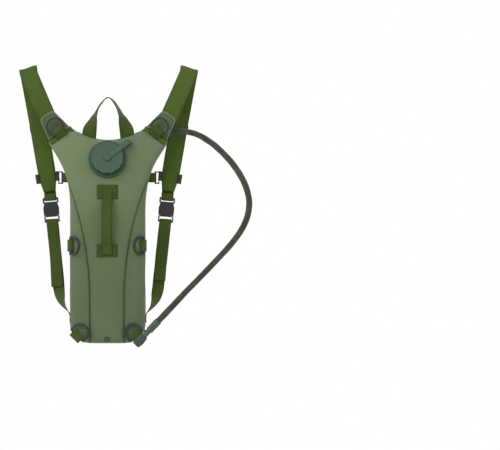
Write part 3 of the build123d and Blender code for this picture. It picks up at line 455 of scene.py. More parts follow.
def smoothRun(points, spacing):  # a rounded run through the points, as places and how far along the list each is
    points = [Vector(p) for p in points]
    fine, turns = [], []
    for index in range(len(points) - 1):
        before = points[max(index - 1, 0)]
        start, end = points[index], points[index + 1]
        after = points[min(index + 2, len(points) - 1)]
        for step in range(10):
            t = step / 10
            bend = (2 * before - 5 * start + 4 * end - after) * t * t
            fine.append(0.5 * (2 * start + (end - before) * t + bend + (3 * start - before - 3 * end + after) * t**3))
            turns.append(index + t)
    fine.append(points[-1])
    turns.append(len(points) - 1)
    walked = distances(fine)
    even = np.linspace(0, walked[-1], max(3, round(walked[-1] / spacing)) + 1)
    return placesAlong(fine, walked, even), list(np.interp(even, walked, turns)), list(even)


def between(values, turn):
    low = min(int(turn), len(values) - 2)
    share = turn - low
    return values[low] * (1 - share) + values[low + 1] * share


def ribbonFrames(points, across, spacing):  # place, direction across, direction out and length at each step
    places, turns, lengths = smoothRun(points, spacing)
    if isinstance(across, Vector):
        across = [across] * len(points)
    frames = []
    for index, spot in enumerate(places):
        ahead = (places[min(index + 1, len(places) - 1)] - places[max(index - 1, 0)]).normalized()
        side = between(across, turns[index])
        side = (side - ahead * side.dot(ahead)).normalized()
        frames.append({"at": spot, "side": side, "out": side.cross(ahead), "ahead": ahead, "run": lengths[index]})
        frames[-1]["turn"] = turns[index]
    return frames


ribbonSteps = 12  # faces across a strap


def ribbon(name, frames, look, paint):  # a strap of cloth with a soft crown, thin edges and small waves
    vertices, uvs, paintedShading = [], [], []
    total = frames[-1]["run"]
    widths = look.get("widths", [look["width"]] * 2)
    for here in frames:
        width = between(widths, here["run"] / total * (len(widths) - 1))
        near = min(here["run"], total - here["run"])
        shares = [-1 + 2 * step / ribbonSteps for step in range(ribbonSteps + 1)]
        for face in (1, -1):
            for s in shares if face > 0 else reversed(shares):
                thick = look["thickness"] / 2 * (1 - look["edge"] * abs(s) ** 4)
                wave = noise.noise(here["at"] * look["waveScale"] + here["side"] * s) * look["wave"]
                wave *= min(1.0, near / 6.0)
                spot = here["at"] + here["side"] * (s * width / 2) + here["out"] * (face * thick + wave)
                vertices.append(spot * mm)
                uvs.append(((s * width / 2 + 0.5) * mm, here["run"] * mm))
                # painted shade along the strap's edges and at its cut ends, and painted highlight on the crests of its
                # waves
                rim = max(0.0, (abs(s) - 0.72) / 0.28)
                paintedShading.append((rim * look["rimShade"] + 0.5 * max(0.0, 1 - near / 1.5), max(0.0, 0.25 * wave)))
    ring = 2 * (ribbonSteps + 1)
    faces = bandFaces(len(frames), ring)
    for row in (0, len(frames) - 1):  # the cut ends
        first = row * ring
        for step in range(ribbonSteps):
            quad = (first + step, first + step + 1, first + ring - 2 - step, first + ring - 1 - step)
            faces.append(quad if row else quad[::-1])
    return facingOut(finishMesh(name, vertices, faces, paint, uvs, paintedShading))


webbingLook = {"width": 25.0, "thickness": 1.6, "edge": 0.35, "wave": 0.5, "waveScale": 0.05, "rimShade": 0.55}


def stitches(name, rows, look):  # rows of thread: each is a list of (place, direction along, direction out)
    vertices, faces = [], []
    ring = 6
    for row in rows:
        for spot, ahead, out in row:
            side = ahead.cross(out)
            first = len(vertices)
            for share, girth in ((-0.5, 0.35), (-0.32, 1.0), (0.32, 1.0), (0.5, 0.35)):
                centre = spot + ahead * (share * look["length"]) + out * (look["lift"] - 0.25 * abs(share))
                for turn in range(ring):
                    angle = 2 * math.pi * turn / ring
                    reach = side * math.cos(angle) + out * math.sin(angle)
                    vertices.append((centre + reach * (look["radius"] * girth)) * mm)
            faces += tubeFaces(4, ring, first)
    return facingOut(finishMesh(name, vertices, faces, moulded["thread"]))


threadLook = {"length": 2.0, "radius": 0.32, "lift": 0.12, "step": 3.0}


def rowAlong(frames, offset, height, start, end, step):  # stitch places along a strap, at an offset from its middle
    row = []
    runs = [f["run"] for f in frames]
    for run in np.arange(start, end, step):
        index = int(np.searchsorted(runs, run))
        index = min(max(index, 1), len(frames) - 1)
        low, high = frames[index - 1], frames[index]
        share = (run - low["run"]) / max(high["run"] - low["run"], 1e-6)
        spot = low["at"].lerp(high["at"], share) + high["side"] * offset + high["out"] * height
        row.append((spot, high["ahead"], high["out"] * (1 if height > 0 else -1)))
    return row


def rowAcross(frames, run, height, width, step):  # stitch places across a strap
    index = min(range(len(frames)), key=lambda i: abs(frames[i]["run"] - run))
    at = frames[index]
    out = at["out"] * (1 if height > 0 else -1)
    offsets = np.arange(-width / 2, width / 2 + 0.01, step)
    return [(at["at"] + at["side"] * offset + at["out"] * height, at["side"], out) for offset in offsets]


def own(x, y, height):  # millimetres from the hook point
    return Vector((x, y, height - hangHeight))


def mirrored(side, rows):  # places on one side of the pack, from rows of across, through and height
    return [own(side * row[0], row[1], row[2]) for row in rows]


def leaning(side, degrees):
    return Vector((math.cos(math.radians(degrees)), 0, -side * math.sin(math.radians(degrees))))


# Drink hose: a sleeved hose that leaves the right wing and hangs in one long bow

hose = {
    "radius": 6.5,
    "route": [
        (108.0, 6.4, 429.6), (130.5, 7.6, 442.0), (158.0, 8.0, 445.0), (187.0, 6.0, 438.5),
        (216.0, 1.0, 421.0), (243.0, -7.0, 397.0), (268.0, -16.5, 368.0), (290.0, -29.0, 330.0),
        (299.0, -43.0, 288.0), (287.0, -55.5, 245.0), (257.0, -66.5, 204.0), (223.0, -75.5, 168.0),
        (189.0, -82.0, 133.0), (156.0, -86.0, 99.0), (126.0, -88.0, 67.0), (108.5, -88.0, 48.5),
    ],
    "creases": 0.42,  # millimetres that the sleeve rucks in and out
    "flatten": 0.05,
    "rim": 20,
    "step": 0.0016,  # metres from one ring of the sleeve to the next
}
route = bpy.data.curves.new("hoseRoute", "CURVE")
route.dimensions = "3D"
spline = route.splines.new("NURBS")
spline.points.add(len(hose["route"]) - 1)
for point, spot in zip(spline.points, hose["route"]):
    point.co = (*place(*spot), 1)
spline.order_u = 3
spline.use_endpoint_u = True
spline.resolution_u = 16
routeObject = bpy.data.objects.new("hoseRoute", route)
scene.collection.objects.link(routeObject)
bpy.context.view_layer.update()
lineMesh = bpy.data.meshes.new_from_object(routeObject)
hosePath = [v.co.copy() for v in lineMesh.vertices]
bpy.data.meshes.remove(lineMesh)
bpy.data.objects.remove(routeObject)

walked = distances(hosePath)
even = np.linspace(0, walked[-1], round(walked[-1] / hose["step"]))
hoseLine = placesAlong(hosePath, walked, even)
vertices, uvs, paintedShading = [], [], []
side = Vector((0, 0, 1)).cross(hoseLine[1] - hoseLine[0]).normalized()
for index, spot in enumerate(hoseLine):
    ahead = (hoseLine[min(index + 1, len(hoseLine) - 1)] - hoseLine[max(index - 1, 0)]).normalized()
    side = (side - ahead * side.dot(ahead)).normalized()
    up = ahead.cross(side)
    run = even[index]
    calm = min(1.0, run / 0.02, (walked[-1] - run) / 0.02)
    for turn in range(hose["rim"]):
        angle = 2 * math.pi * turn / hose["rim"]
        reach = side * math.cos(angle) + up * math.sin(angle)
        ruck = noise.noise(Vector((run * 42, math.cos(angle) * 0.9, math.sin(angle) * 0.9)))
        ruck += 0.5 * noise.noise(Vector((run * 130 + 7, math.cos(angle) * 1.6, math.sin(angle) * 1.6)))
        girth = hose["radius"] * (1 + hose["flatten"] * math.cos(2 * angle + run * 16) * calm)
        vertices.append(spot + reach * ((girth + hose["creases"] * ruck * calm - 0.2) * mm))
        uvs.append((angle * hose["radius"] * mm, run))
        # painted shade in the troughs of the sleeve's rucks and painted highlight on their ridges
        paintedShading.append((max(0.0, -ruck * 0.9), max(0.0, ruck * 0.8)))
faces = tubeFaces(len(hoseLine), hose["rim"])
hoseSleeve = facingOut(finishMesh("hoseSleeve", vertices, faces, cloths["sleeve"], uvs, paintedShading))
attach(hoseSleeve, "carrier")
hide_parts("drink_hose")


# Carrier: the fabric body, sewn from a front panel, two side panels and a back

carrier = {
    "baseCorner": 40.0,
    "baseRound": 20.0,
    "backCorner": 5.0,
    "frontCorner": 22.0,
    "depth": 68.0,
    "neckRadius": 125.4,
    "neckCentre": 550.4,
    "neckRoll": 10.0,
    "wingInner": (79.0, 453.0),
    "wingOut": (0.576, 0.8175),
    "seamHalf": 36.0,
    "seamFlareHeight": 89.0,
    "seamFlareRadius": 670.0,
    "seamTop": 336.0,
    "seamEnd": 356.0,
    "yokeHeight": 352.0,
    "frontColumns": 56,
    "sideColumns": 30,
    "backColumns": 44,
    "wrinkle": 1.1,  # millimetres
    "pucker": 0.35,
    "groove": 1.5,
    "wingTop": (456.0, 141.0, 18.0),  # height, half width and depth at the wings' ends
    "sideTop": 418,  # above this the sides are drawn straight to the wings' ends
    "neckStart": 300.0,  # above this the rows close up towards the neck
    "neckRows": 44,
}
wingTop, wingTopHalf, wingTopDepth = carrier["wingTop"]

shellVertices, shellFaces = [], []
for name in ("front_panel", "side_panel_left", "side_panel_right"):
    first = len(shellVertices)
    shellVertices += [v.co.copy() for v in nodes[name].data.vertices]
    shellFaces += [[first + i for i in face.vertices] for face in nodes[name].data.polygons]
shellTree = BVHTree.FromPolygons(shellVertices, shellFaces)

stationHeights = list(np.arange(45, 441, 5.0))
stationWidths, stationDepths = [], []
for height in stationHeights:
    hit = shellTree.ray_cast(place(400, 6, min(height, carrier["sideTop"])), Vector((-1, 0, 0)))[0]
    stationWidths.append(hit.x / mm)
    x = 30 if height < 342 else 60 if height < 426 else 96
    hit = shellTree.ray_cast(place(x, -300, height), Vector((0, 1, 0)))[0]
    stationDepths.append(backY - hit.y / mm)
for index, height in enumerate(stationHeights):
    if height > carrier["sideTop"]:
        slope = (wingTopHalf - stationWidths[index - 1]) / (wingTop - stationHeights[index - 1])
        stationWidths[index] = stationWidths[index - 1] + 5.0 * slope
stationHeights.append(wingTop)
stationWidths.append(wingTopHalf)
stationDepths.append(wingTopDepth)
sectionStore = {}


def section(height):  # the rim of the carrier at a height: places from the left back corner round the front
    key = round(height, 2)
    if key in sectionStore:
        return sectionStore[key]
    width = float(np.interp(height, stationHeights, stationWidths))
    depth = float(np.interp(height, stationHeights, stationDepths))
    corner = carrier["frontCorner"] * depth / carrier["depth"]
    if height < carrier["baseCorner"]:
        rise = carrier["baseCorner"] - max(height, 0)
        width += math.sqrt(carrier["baseCorner"] ** 2 - rise**2) - carrier["baseCorner"]
    if height < carrier["baseRound"]:
        rise = carrier["baseRound"] - max(height, 0)
        depth += math.sqrt(carrier["baseRound"] ** 2 - rise**2) - carrier["baseRound"]
    small = carrier["backCorner"]
    half = []
    for angle in np.linspace(0, math.pi / 2, 7):
        half.append((-width + small - small * math.sin(angle), backY - small + small * math.cos(angle)))
    for share in np.linspace(0, 1, 12)[1:-1]:
        half.append((-width, backY - small + share * (corner + small - depth)))
    for angle in np.linspace(0, math.pi / 2, 13):
        half.append((-width + corner - corner * math.cos(angle), backY - depth + corner - corner * math.sin(angle)))
    for share in np.linspace(0, 1, 14)[1:]:
        half.append(((1 - share) * (corner - width), backY - depth))
    rim = np.array(half + [(-x, y) for x, y in reversed(half[:-1])])
    arcs = np.concatenate([[0], np.cumsum(np.hypot(*np.diff(rim, axis=0).T))])
    flare = min(height, carrier["seamTop"]) - carrier["seamFlareHeight"]
    seam = carrier["seamHalf"]
    if flare > 0:
        seam += carrier["seamFlareRadius"] - math.sqrt(carrier["seamFlareRadius"] ** 2 - flare**2)
    middle = len(half) - 1
    seamArc = float(np.interp(-seam, rim[6:middle, 0], arcs[6:middle]))
    if height > carrier["seamTop"]:
        share = (height - carrier["seamTop"]) / (carrier["seamEnd"] - carrier["seamTop"])
        seamArc *= max(0.0, 1 - share)
    sectionStore[key] = (rim, arcs, seamArc, width)
    return sectionStore[key]


def rimPoint(group, share, height):  # x and y on a group of the carrier's rim, and the distance to its seam
    rim, arcs, seamArc, width = section(height)
    if group == "back":
        return (share * 2 - 1) * (width - carrier["backCorner"]), backY, 99.0
    if group == "front":
        arc = seamArc + share * (arcs[-1] - 2 * seamArc)
        near = min(arc - seamArc, arcs[-1] - seamArc - arc)
    elif group == "left":
        arc, near = share * seamArc, (1 - share) * seamArc
    else:
        arc, near = arcs[-1] - (1 - share) * seamArc, share * seamArc
    return float(np.interp(arc, arcs, rim[:, 0])), float(np.interp(arc, arcs, rim[:, 1])), near


def neckGap(x, height):
    return math.hypot(x, height - carrier["neckCentre"]) - carrier["neckRadius"]


def wingGap(x, height):
    out = (abs(x) - carrier["wingInner"][0]) * carrier["wingOut"][0]
    return -(out + (height - carrier["wingInner"][1]) * carrier["wingOut"][1])


def topOf(group, share):  # where a column of the skin meets the neck or the wing's end
    low, high = 300.0, 460.0
    for _ in range(22):
        middle = (low + high) / 2
        x = rimPoint(group, share, middle)[0]
        if neckGap(x, middle) > 0 and wingGap(x, middle) > 0:
            low = middle
        else:
            high = middle
    return low


def skinPoint(group, share, height):  # a place on the finished cloth, with its painted shade and painted highlight there
    x, y, near = rimPoint(group, share, height)
    rim = section(height)[0]
    front = float(rim[:, 1].min())
    gap = neckGap(x, height)
    if gap < carrier["neckRoll"] and abs(x) < carrier["wingInner"][0] + 8:
        roll = 1 - max(gap, 0) / carrier["neckRoll"]
        middle = (front + backY) / 2
        y = middle + (y - middle) * math.sqrt(max(0.0, 1 - roll * roll))
    inward = Vector((-x * 0.35, backY - 20 - y, 0))
    inward.normalize()
    spot = own(x, y, height)
    fold = noise.noise(Vector((x * 0.016, y * 0.02, height * 0.011))) + 0.5 * noise.noise(spot * 0.045)
    depth = carrier["wrinkle"] * max(0.0, fold)
    depth += carrier["groove"] * math.exp(-((near / 3.2) ** 2))
    depth += carrier["pucker"] * (1 + math.sin(height * 0.62 + 2 * noise.noise(spot * 0.03))) * math.exp(-near / 7.0)
    calm = min(1.0, height / 12.0, max(0.0, wingGap(x, height)) / 8.0 + 0.2)
    spot += inward * (depth * calm)
    # painted shade in the seam's groove and where the cloth rolls in at the neck
    dark = 0.75 * math.exp(-((near / 1.7) ** 2)) + 0.25 * math.exp(-near / 9.0)
    dark = max(dark, 0.55 * math.exp(-max(gap, 0) / 2.0))
    # painted highlight, paler towards the top and the left, where the key lamp falls
    pale = 0.8 * min(1.0, max(0.0, (height - 150) / 260)) * (0.62 - x / 340) if group != "back" else 0.0
    return spot, (min(dark, 1.0), min(max(pale, 0.0), 1.0))


def rowHeights(low, high):
    heights = [20 * (1 - math.cos(angle)) for angle in np.linspace(0.12, math.pi / 2, 9)] if low == 0 else [low]
    start = heights[-1]
    steps = max(2, round((high - start) / 3.4))
    return ([0.0] if low == 0 else []) + heights[:-1] + list(np.linspace(start, high, steps + 1))


def skin(name, group, columns, low, high, paint):
    shares = np.linspace(0, 1, columns + 1)
    neckStart = carrier["neckStart"]
    shared = rowHeights(low, min(high, neckStart)) if low < neckStart else []
    upper = carrier["neckRows"] if high > 400 else 0
    if not upper and low < neckStart < high:
        shared += list(np.linspace(neckStart, high, 18))[1:]
    rows = []
    if low == 0 and group != "back":  # the flat base, drawn in from the rim
        for draw in (1.0, 0.75, 0.5, 0.25):
            row = []
            for share in shares:
                x, y, near = rimPoint(group, share, 0.0)
                inner = (x, backY) if group == "front" else (math.copysign(carrier["seamHalf"], x), y)
                spot = own(x + (inner[0] - x) * draw, y + (inner[1] - y) * draw, 0.0)
                # a little painted shade on the base
                row.append((spot, (0.15, 0.0)))
            rows.append(row)
    for height in shared:
        rows.append([skinPoint(group, share, height) for share in shares])
    if upper:
        start = max(low, neckStart)
        tops = [topOf(group, share) for share in shares]
        for step in range(0 if not shared else 1, upper + 1):
            rise = 1 - (1 - step / upper) ** 1.5
            rows.append([skinPoint(group, share, start + (top - start) * rise) for share, top in zip(shares, tops)])
    vertices, paintedShading, uvs = [], [], []
    for row in rows:
        run = 0.0
        for index, (spot, mark) in enumerate(row):
            if index:
                run += (spot - row[index - 1][0]).length
            vertices.append(spot * mm)
            paintedShading.append(mark)
            uvs.append((run * mm, spot.z * mm))
        middle = run / 2
        for index in range(len(row)):
            uvs[-1 - index] = (uvs[-1 - index][0] - middle * mm, uvs[-1 - index][1])
    faces = gridFaces(len(rows), columns + 1)
    if group == "back":
        faces = [quad[::-1] for quad in faces]
    return finishMesh(name, vertices, faces, paint, uvs, paintedShading)


frontSkin = skin("frontPanelCloth", "front", carrier["frontColumns"], 0, wingTop, cloths["fabric"])
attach(frontSkin, "carrier")
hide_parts("front_panel")
for sideName in sides:
    piece = skin(f"sidePanelCloth_{sideName}", sideName, carrier["sideColumns"], 0, 355.5, cloths["fabric"])
    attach(piece, "carrier")
    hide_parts(f"side_panel_{sideName}")
backSkin = skin("backPanelCloth", "back", carrier["backColumns"], 0, carrier["yokeHeight"], cloths["fabric"])
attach(backSkin, "carrier")
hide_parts("back_panel")
yokeSkin = skin("yokeCloth", "back", carrier["backColumns"], carrier["yokeHeight"], wingTop, cloths["yokeFabric"])
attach(yokeSkin, "carrier")
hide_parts("yoke_panel")
print("carrier skins")


def tube(name, places, radius, paint):  # a thin round cord through places in millimetres
    rim = 8
    vertices = []
    side = Vector((0.3, 1, 0.2))
    for index, spot in enumerate(places):
        ahead = (places[min(index + 1, len(places) - 1)] - places[max(index - 1, 0)]).normalized()
        side = (side - ahead * side.dot(ahead)).normalized()
        up = ahead.cross(side)
        for turn in range(rim):
            angle = 2 * math.pi * turn / rim
            vertices.append((spot + (side * math.cos(angle) + up * math.sin(angle)) * radius) * mm)
    return facingOut(finishMesh(name, vertices, tubeFaces(len(places), rim), paint))


seamLook = {"radius": 0.9, "step": 4.0}
seamTubes = []
for share in (0.0, 1.0):
    seamPlaces = [skinPoint("front", share, height)[0] for height in np.arange(2, 354, seamLook["step"])]
    seamTubes.append(tube("seam", seamPlaces, seamLook["radius"], moulded["piping"]))
neckPlaces = []
for share in np.linspace(0.3, 0.7, 60):
    top = topOf("front", share)
    if neckGap(rimPoint("front", share, top)[0], top) < 0.5:
        neckPlaces.append(skinPoint("front", share, top)[0])
seamTubes.append(tube("neckSeam", neckPlaces, 1.0, moulded["piping"]))
for share in (0.0, 1.0):
    edgePlaces = [skinPoint("back", share, height)[0] for height in np.arange(42, 412, seamLook["step"])]
    seamTubes.append(tube("backSeam", edgePlaces, 1.0, moulded["piping"]))
seams = joined("seamPiping", seamTubes)
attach(seams, "carrier")
print("carrier seams")


# Straps and webbing

halfTurn = [math.radians(angle) for angle in range(0, 181, 30)]
bufferY = 32.0  # the plane that the shoulder straps and the buckles hang in
buckle = {"x": 121.5, "height": 279.0, "lean": 4.9, "upperBar": 23.9, "lowerBar": -23.9, "wrap": 4.2}
stitchSets = []


def buckleSpot(side, up, forward):  # a place on a shoulder buckle: up along it, and out from its face
    lean = math.radians(buckle["lean"])
    x = buckle["x"] + up * math.sin(lean)
    return own(side * x, bufferY - forward, buckle["height"] + up * math.cos(lean))


def buckleWrap(side, bar, way):
    return [
        buckleSpot(side, bar + way * buckle["wrap"] * math.sin(a), -buckle["wrap"] * math.cos(a)) for a in halfTurn
    ]


shoulderLook = {
    "width": 38.0, "thickness": 4.4, "edge": 0.55, "wave": 1.0, "waveScale": 0.03, "rimShade": 0.5,
    "widths": [37.5] * 13 + [38, 38, 38, 37.5, 34, 25.5],
}
crown = {
    "x": 169.5, "y": 24.0, "height": 572.0, "fold": 5.0,
    "rise": [(124, 1.6, 464), (131, 1.6, 480), (149, 9.5, 521), (166.5, 17.5, 562)],
    "fall": [
        (165, bufferY - 1, 548), (152, bufferY, 478), (139, bufferY, 404), (131.5, bufferY, 360),
        (126.7, bufferY, 330), (124.7, bufferY, 318),
    ],
}
for sideName, side in sides.items():
    fold = []
    for a in halfTurn:
        y, height = crown["y"] - crown["fold"] * math.cos(a), crown["height"] + crown["fold"] * math.sin(a)
        fold.append((crown["x"], y, height))
    points = mirrored(side, crown["rise"] + fold + crown["fall"])
    across = [leaning(side, 22.8)] * 4 + [leaning(side, 18.2)] * len(fold) + [leaning(side, 9.5)] * 6
    frames = ribbonFrames(points, across, 2.5)
    strap = ribbon(f"shoulderStrap_{sideName}", frames, shoulderLook, cloths["strapFabric"])
    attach(strap, "carrier")
    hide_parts(f"shoulder_strap_{sideName}")
    end = frames[-1]["run"]
    for offset in (-15.5, 15.5):
        for face in (1.35, -1.35):
            stitchSets.append(rowAlong(frames, offset, face, 6, end - 26, threadLook["step"]))
    for offset in (-9.5, 9.5):
        stitchSets.append(rowAlong(frames, offset, -1.9, end - 24, end - 3, threadLook["step"]))

    sewnY = bufferY + 3.1
    points = [own(side * 126.4, sewnY, 329.5), own(side * 124.6, sewnY, 318.0)]
    points += buckleWrap(side, buckle["upperBar"], -1)
    points += [own(side * 123.8, bufferY - 4.2, 314.0)]
    frames = ribbonFrames(points, leaning(side, buckle["lean"]), 1.0)
    look = dict(webbingLook, wave=0.0)
    piece = ribbon(f"shoulderWebbing_{sideName}", frames, look, cloths["webbing"])
    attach(piece, "carrier")
    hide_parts(f"shoulder_webbing_{sideName}")
    for run in (2.5, 9.5):
        stitchSets.append(rowAcross(frames, run, 0.75, 20, threadLook["step"]))
        stitchSets.append(rowAcross(frames, run, -0.75, 20, threadLook["step"]))

lowerStrap = {
    "hung": [  # across, through, height and turn of the webbing up from the base seam to the buckle
        (79.5, -2, 42, 90), (79.5, -2, 56, 90), (82.5, -2, 64, 90), (91, 3, 76, 75), (99, 9, 92, 45),
        (104, 15, 112, 15), (107, 21, 140, 0), (111.6, 28, 180, 0), (117.8, 36.2, 240, 0),
    ],
    "tail": [(117.6, 24.3, 240), (111.0, 19.5, 178)],
    "tailEnd": {"left": (107.5, 12.5, 117), "right": (107.5, 12.5, 130)},
    "bend": (60, 235),  # the heights of the stretch of strap that would give when the buckle is drawn out; read below but not used
}
for sideName, side in sides.items():
    points = mirrored(side, lowerStrap["hung"])
    points += buckleWrap(side, buckle["lowerBar"], 1)
    points += mirrored(side, lowerStrap["tail"] + [lowerStrap["tailEnd"][sideName]])
    across = []
    for x, y, height, turn in lowerStrap["hung"]:
        across.append(Vector((math.cos(math.radians(turn)), side * math.sin(math.radians(turn)), 0)))
    across += [leaning(side, buckle["lean"])] * (len(points) - len(across))
    frames = ribbonFrames(points, across, 2.0)
    piece = ribbon(f"lowerStrap_{sideName}", frames, dict(webbingLook, wave=0.7), cloths["webbing"])
    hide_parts(f"lower_strap_{sideName}")
    low, high = lowerStrap["bend"]
    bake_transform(piece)
    for run in (3.0, 12.5):
        stitchSets.append(rowAcross(frames, run, 0.8 * side, 20, threadLook["step"]))

# Sternum strap: its webbing goes round the ears of the sliders and the bars of the buckle

sternum = {"height": 347.0, "wrap": 4.2, "earGap": 3.55, "ear": 94.1, "width": 20.0, "bar": 23.9}
for sideName, side in sides.items():
    bar = sternum["bar"]
    points = [own(side * (bar + 14), bufferY - sternum["wrap"], sternum["height"])]
    for a in halfTurn:
        x = bar - sternum["wrap"] * math.sin(a)
        points.append(own(side * x, bufferY - sternum["wrap"] * math.cos(a), sternum["height"]))
    points.append(own(side * (sternum["ear"] - 8), bufferY + sternum["earGap"], sternum["height"]))
    for a in halfTurn:
        x = sternum["ear"] + sternum["earGap"] * math.sin(a)
        points.append(own(side * x, bufferY + sternum["earGap"] * math.cos(a), sternum["height"]))
    points.append(own(side * (sternum["ear"] - 20), bufferY - sternum["earGap"], sternum["height"]))
    frames = ribbonFrames(points, Vector((0, 0, 1)), 1.2)
    look = dict(webbingLook, width=sternum["width"], wave=0.25)
    piece = ribbon(f"sternumStrap_{sideName}", frames, look, cloths["webbing"])
    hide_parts(f"sternum_strap_{sideName}")
    if side < 0:
        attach(piece, "sternum")
    else:
        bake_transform(piece)

# Haul loop: webbing sewn flat into the neck and turned edge-on at the hook

haul = {
    "half": [  # across, through, height and turn
        (40.8, 4, 421, 0), (40.2, 4, 434, 2), (38.5, 4, 446, 12), (33, 3.2, 462, 45), (27, 2, 478, 72),
        (21, 1, 492, 80), (13, 0.2, 504.5, 80), (6, 0, 512, 84), (0, 0, 514.8, 90),
    ],
    "width": 30.0,
}
points, across = [], []
for side, rows in ((1, haul["half"]), (-1, haul["half"][-2::-1])):
    for x, y, height, turn in rows:
        angle = math.radians(turn if side > 0 else 180 - turn)
        points.append(own(side * x, y, height))
        across.append(Vector((math.cos(angle), math.sin(angle), 0)))
frames = ribbonFrames(points, across, 2.0)
narrow = [30, 30, 30, 29.5, 29, 29, 29.5, 30, 30, 30]
look = dict(webbingLook, width=haul["width"], wave=0.8, waveScale=0.06, widths=narrow, thickness=1.8, rimShade=0.8)
haulLoop = ribbon("haulLoop", frames, look, cloths["webbing"])
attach(haulLoop, "carrier")
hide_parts("haul_loop")

# Front handle: a strip that stands off the pack between two sewn patches

handle = {
    "x": 0.5,
    "strip": [
        (-55.3, 185), (-56.2, 205), (-61, 213), (-64.4, 226), (-67, 240), (-67.8, 252), (-65.6, 268), (-61, 282),
        (-52.6, 295), (-44.3, 303), (-40.6, 312), (-37.6, 324),
    ],
    "width": 22.0,
    "patches": {"upper": (301, 331), "lower": (180, 207)},
    "patchWidth": 43.0,
}


def frontSurface(height):  # the depth of the front of the carrier
    return backY - float(np.interp(height, stationHeights, stationDepths))


points = [own(handle["x"], y, height) for y, height in handle["strip"]]
frames = ribbonFrames(points, Vector((1, 0, 0)), 2.0)
look = dict(webbingLook, width=handle["width"], thickness=2.2, wave=0.4, waveScale=0.07, rimShade=0.7)
strip = ribbon("handleStrip", frames, look, cloths["webbing"])
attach(strip, "carrier")
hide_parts("handle_strip")
for offset in (-8.2, 8.2):
    for face in (1.05, -1.05):
        stitchSets.append(rowAlong(frames, offset, face, 4, frames[-1]["run"] - 4, threadLook["step"]))
for patchName, (low, high) in handle["patches"].items():
    heights = [low + 0.4, (low * 3 + high) / 4, (low + high) / 2, (low + high * 3) / 4, high - 0.4]
    points = [own(handle["x"], frontSurface(height) - 1.0, height) for height in heights]
    frames = ribbonFrames(points, Vector((1, 0, 0)), 1.6)
    look = dict(webbingLook, width=handle["patchWidth"], thickness=2.0, wave=0.15, waveScale=0.15, rimShade=0.5)
    patch = ribbon(f"handlePatch_{patchName}", frames, look, cloths["webbing"])
    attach(patch, "carrier")
    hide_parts(f"handle_patch_{patchName}")
    run = frames[-1]["run"]
    out = 0.9 if frames[0]["out"].y < 0 else -0.9
    for offset in (-19, 19):
        stitchSets.append(rowAlong(frames, offset, out, 3, run - 2, threadLook["step"]))
    for along in (2.5, run / 2 - 3, run / 2 + 3, run - 2.5):
        stitchSets.append(rowAcross(frames, along, out, 37, threadLook["step"]))

# Band of webbing under the yoke, at the back

points = [own(x, backY + 0.8, 355) for x in (-82.6, -40, 0, 40, 82.6)]
frames = ribbonFrames(points, Vector((0, 0, 1)), 3.0)
band = ribbon("backBand", frames, dict(webbingLook, width=11.0, wave=0.15), cloths["webbing"])
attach(band, "carrier")
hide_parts("back_band")
for offset in (-4.0, 4.0):
    stitchSets.append(rowAlong(frames, offset, 0.75 if frames[0]["out"].y > 0 else -0.75, 3, 162, threadLook["step"]))
print("straps")


# Folded tape over the wings' ends, and the padded anchors beyond them

wing = {"run": 53.8, "along": (0.8175, -0.576), "tape": 10.0, "tapeLift": 1.1, "steps": 26}


def wingSpot(side, along, out, y):
    x = carrier["wingInner"][0] + along * wing["along"][0] + out * carrier["wingOut"][0]
    height = carrier["wingInner"][1] + along * wing["along"][1] + out * carrier["wingOut"][1]
    return own(side * x, y, height)


def frontDepthAt(x, height):  # where the rounded front is at a place near the side
    rim = section(height)[0]
    middle = len(rim) // 2
    return float(np.interp(-abs(x), rim[6:middle, 0], rim[6:middle, 1]))


for sideName, side in sides.items():
    vertices, uvs, paintedShading = [], [], []
    steps = wing["steps"]
    for step in range(steps + 1):
        along = -0.6 + (wing["run"] + 1.2) * step / steps
        spot = wingSpot(1, min(max(along, 0.5), wing["run"] - 1), -5, 0)
        front = frontDepthAt(spot.x, spot.z + hangHeight)
        lift = wing["tapeLift"]
        profile = [
            (-wing["tape"], front + 1.2), (-wing["tape"], front - lift * 0.8), (-7, front - lift * 1.2),
            (-3, front - lift * 1.3), (-0.4, front - lift), (1.1, front + 1.2), (1.8, front + 4),
            (2.0, (front + backY) / 2), (1.8, backY - 4), (1.1, backY - 1.2), (-0.4, backY + lift),
            (-3, backY + lift * 1.2), (-7, backY + lift * 1.1),
            (-wing["tape"], backY + lift * 0.8), (-wing["tape"], backY - 1.2),
        ]
        run = 0.0
        for index, (out, y) in enumerate(profile):
            ripple = 0.35 * noise.noise(Vector((along * 0.16, index * 0.5, side)))
            if index:
                run += math.hypot(out - profile[index - 1][0], y - profile[index - 1][1])
            vertices.append(wingSpot(side, along, out + (ripple if 3 < index < 11 else 0), y - ripple * 0.6) * mm)
            uvs.append((run * mm, along * mm))
            # painted shade at the tape's edges, where it steps down to the fabric, and painted highlight on its raised
            # face
            rim = 0.6 if index in (0, 1, 13, 14) else 0.0
            paintedShading.append((rim, 0.5 if 2 <= index <= 4 else 0.0))
    wide = len(profile)
    faces = gridFaces(steps + 1, wide)
    faces.append(tuple(reversed(range(wide))))
    faces.append(tuple(range(steps * wide, (steps + 1) * wide)))
    tape = facingOut(finishMesh(f"wingTape_{sideName}", vertices, faces, cloths["webbing"], uvs, paintedShading))
    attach(tape, "carrier")
    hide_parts(f"wing_binding_{sideName}")
    for out in (-8.2, -2.2):
        row = []
        for along in np.arange(2, wing["run"] - 3, threadLook["step"]):
            spot = wingSpot(1, along, out, 0)
            front = frontDepthAt(wingSpot(1, along, -5, 0).x, wingSpot(1, along, -5, 0).z + hangHeight)
            ahead = Vector((side * wing["along"][0], 0, wing["along"][1]))
            row.append((wingSpot(side, along, out, front - 1.35), ahead, Vector((0, -1, 0))))
        stitchSets.append(row)

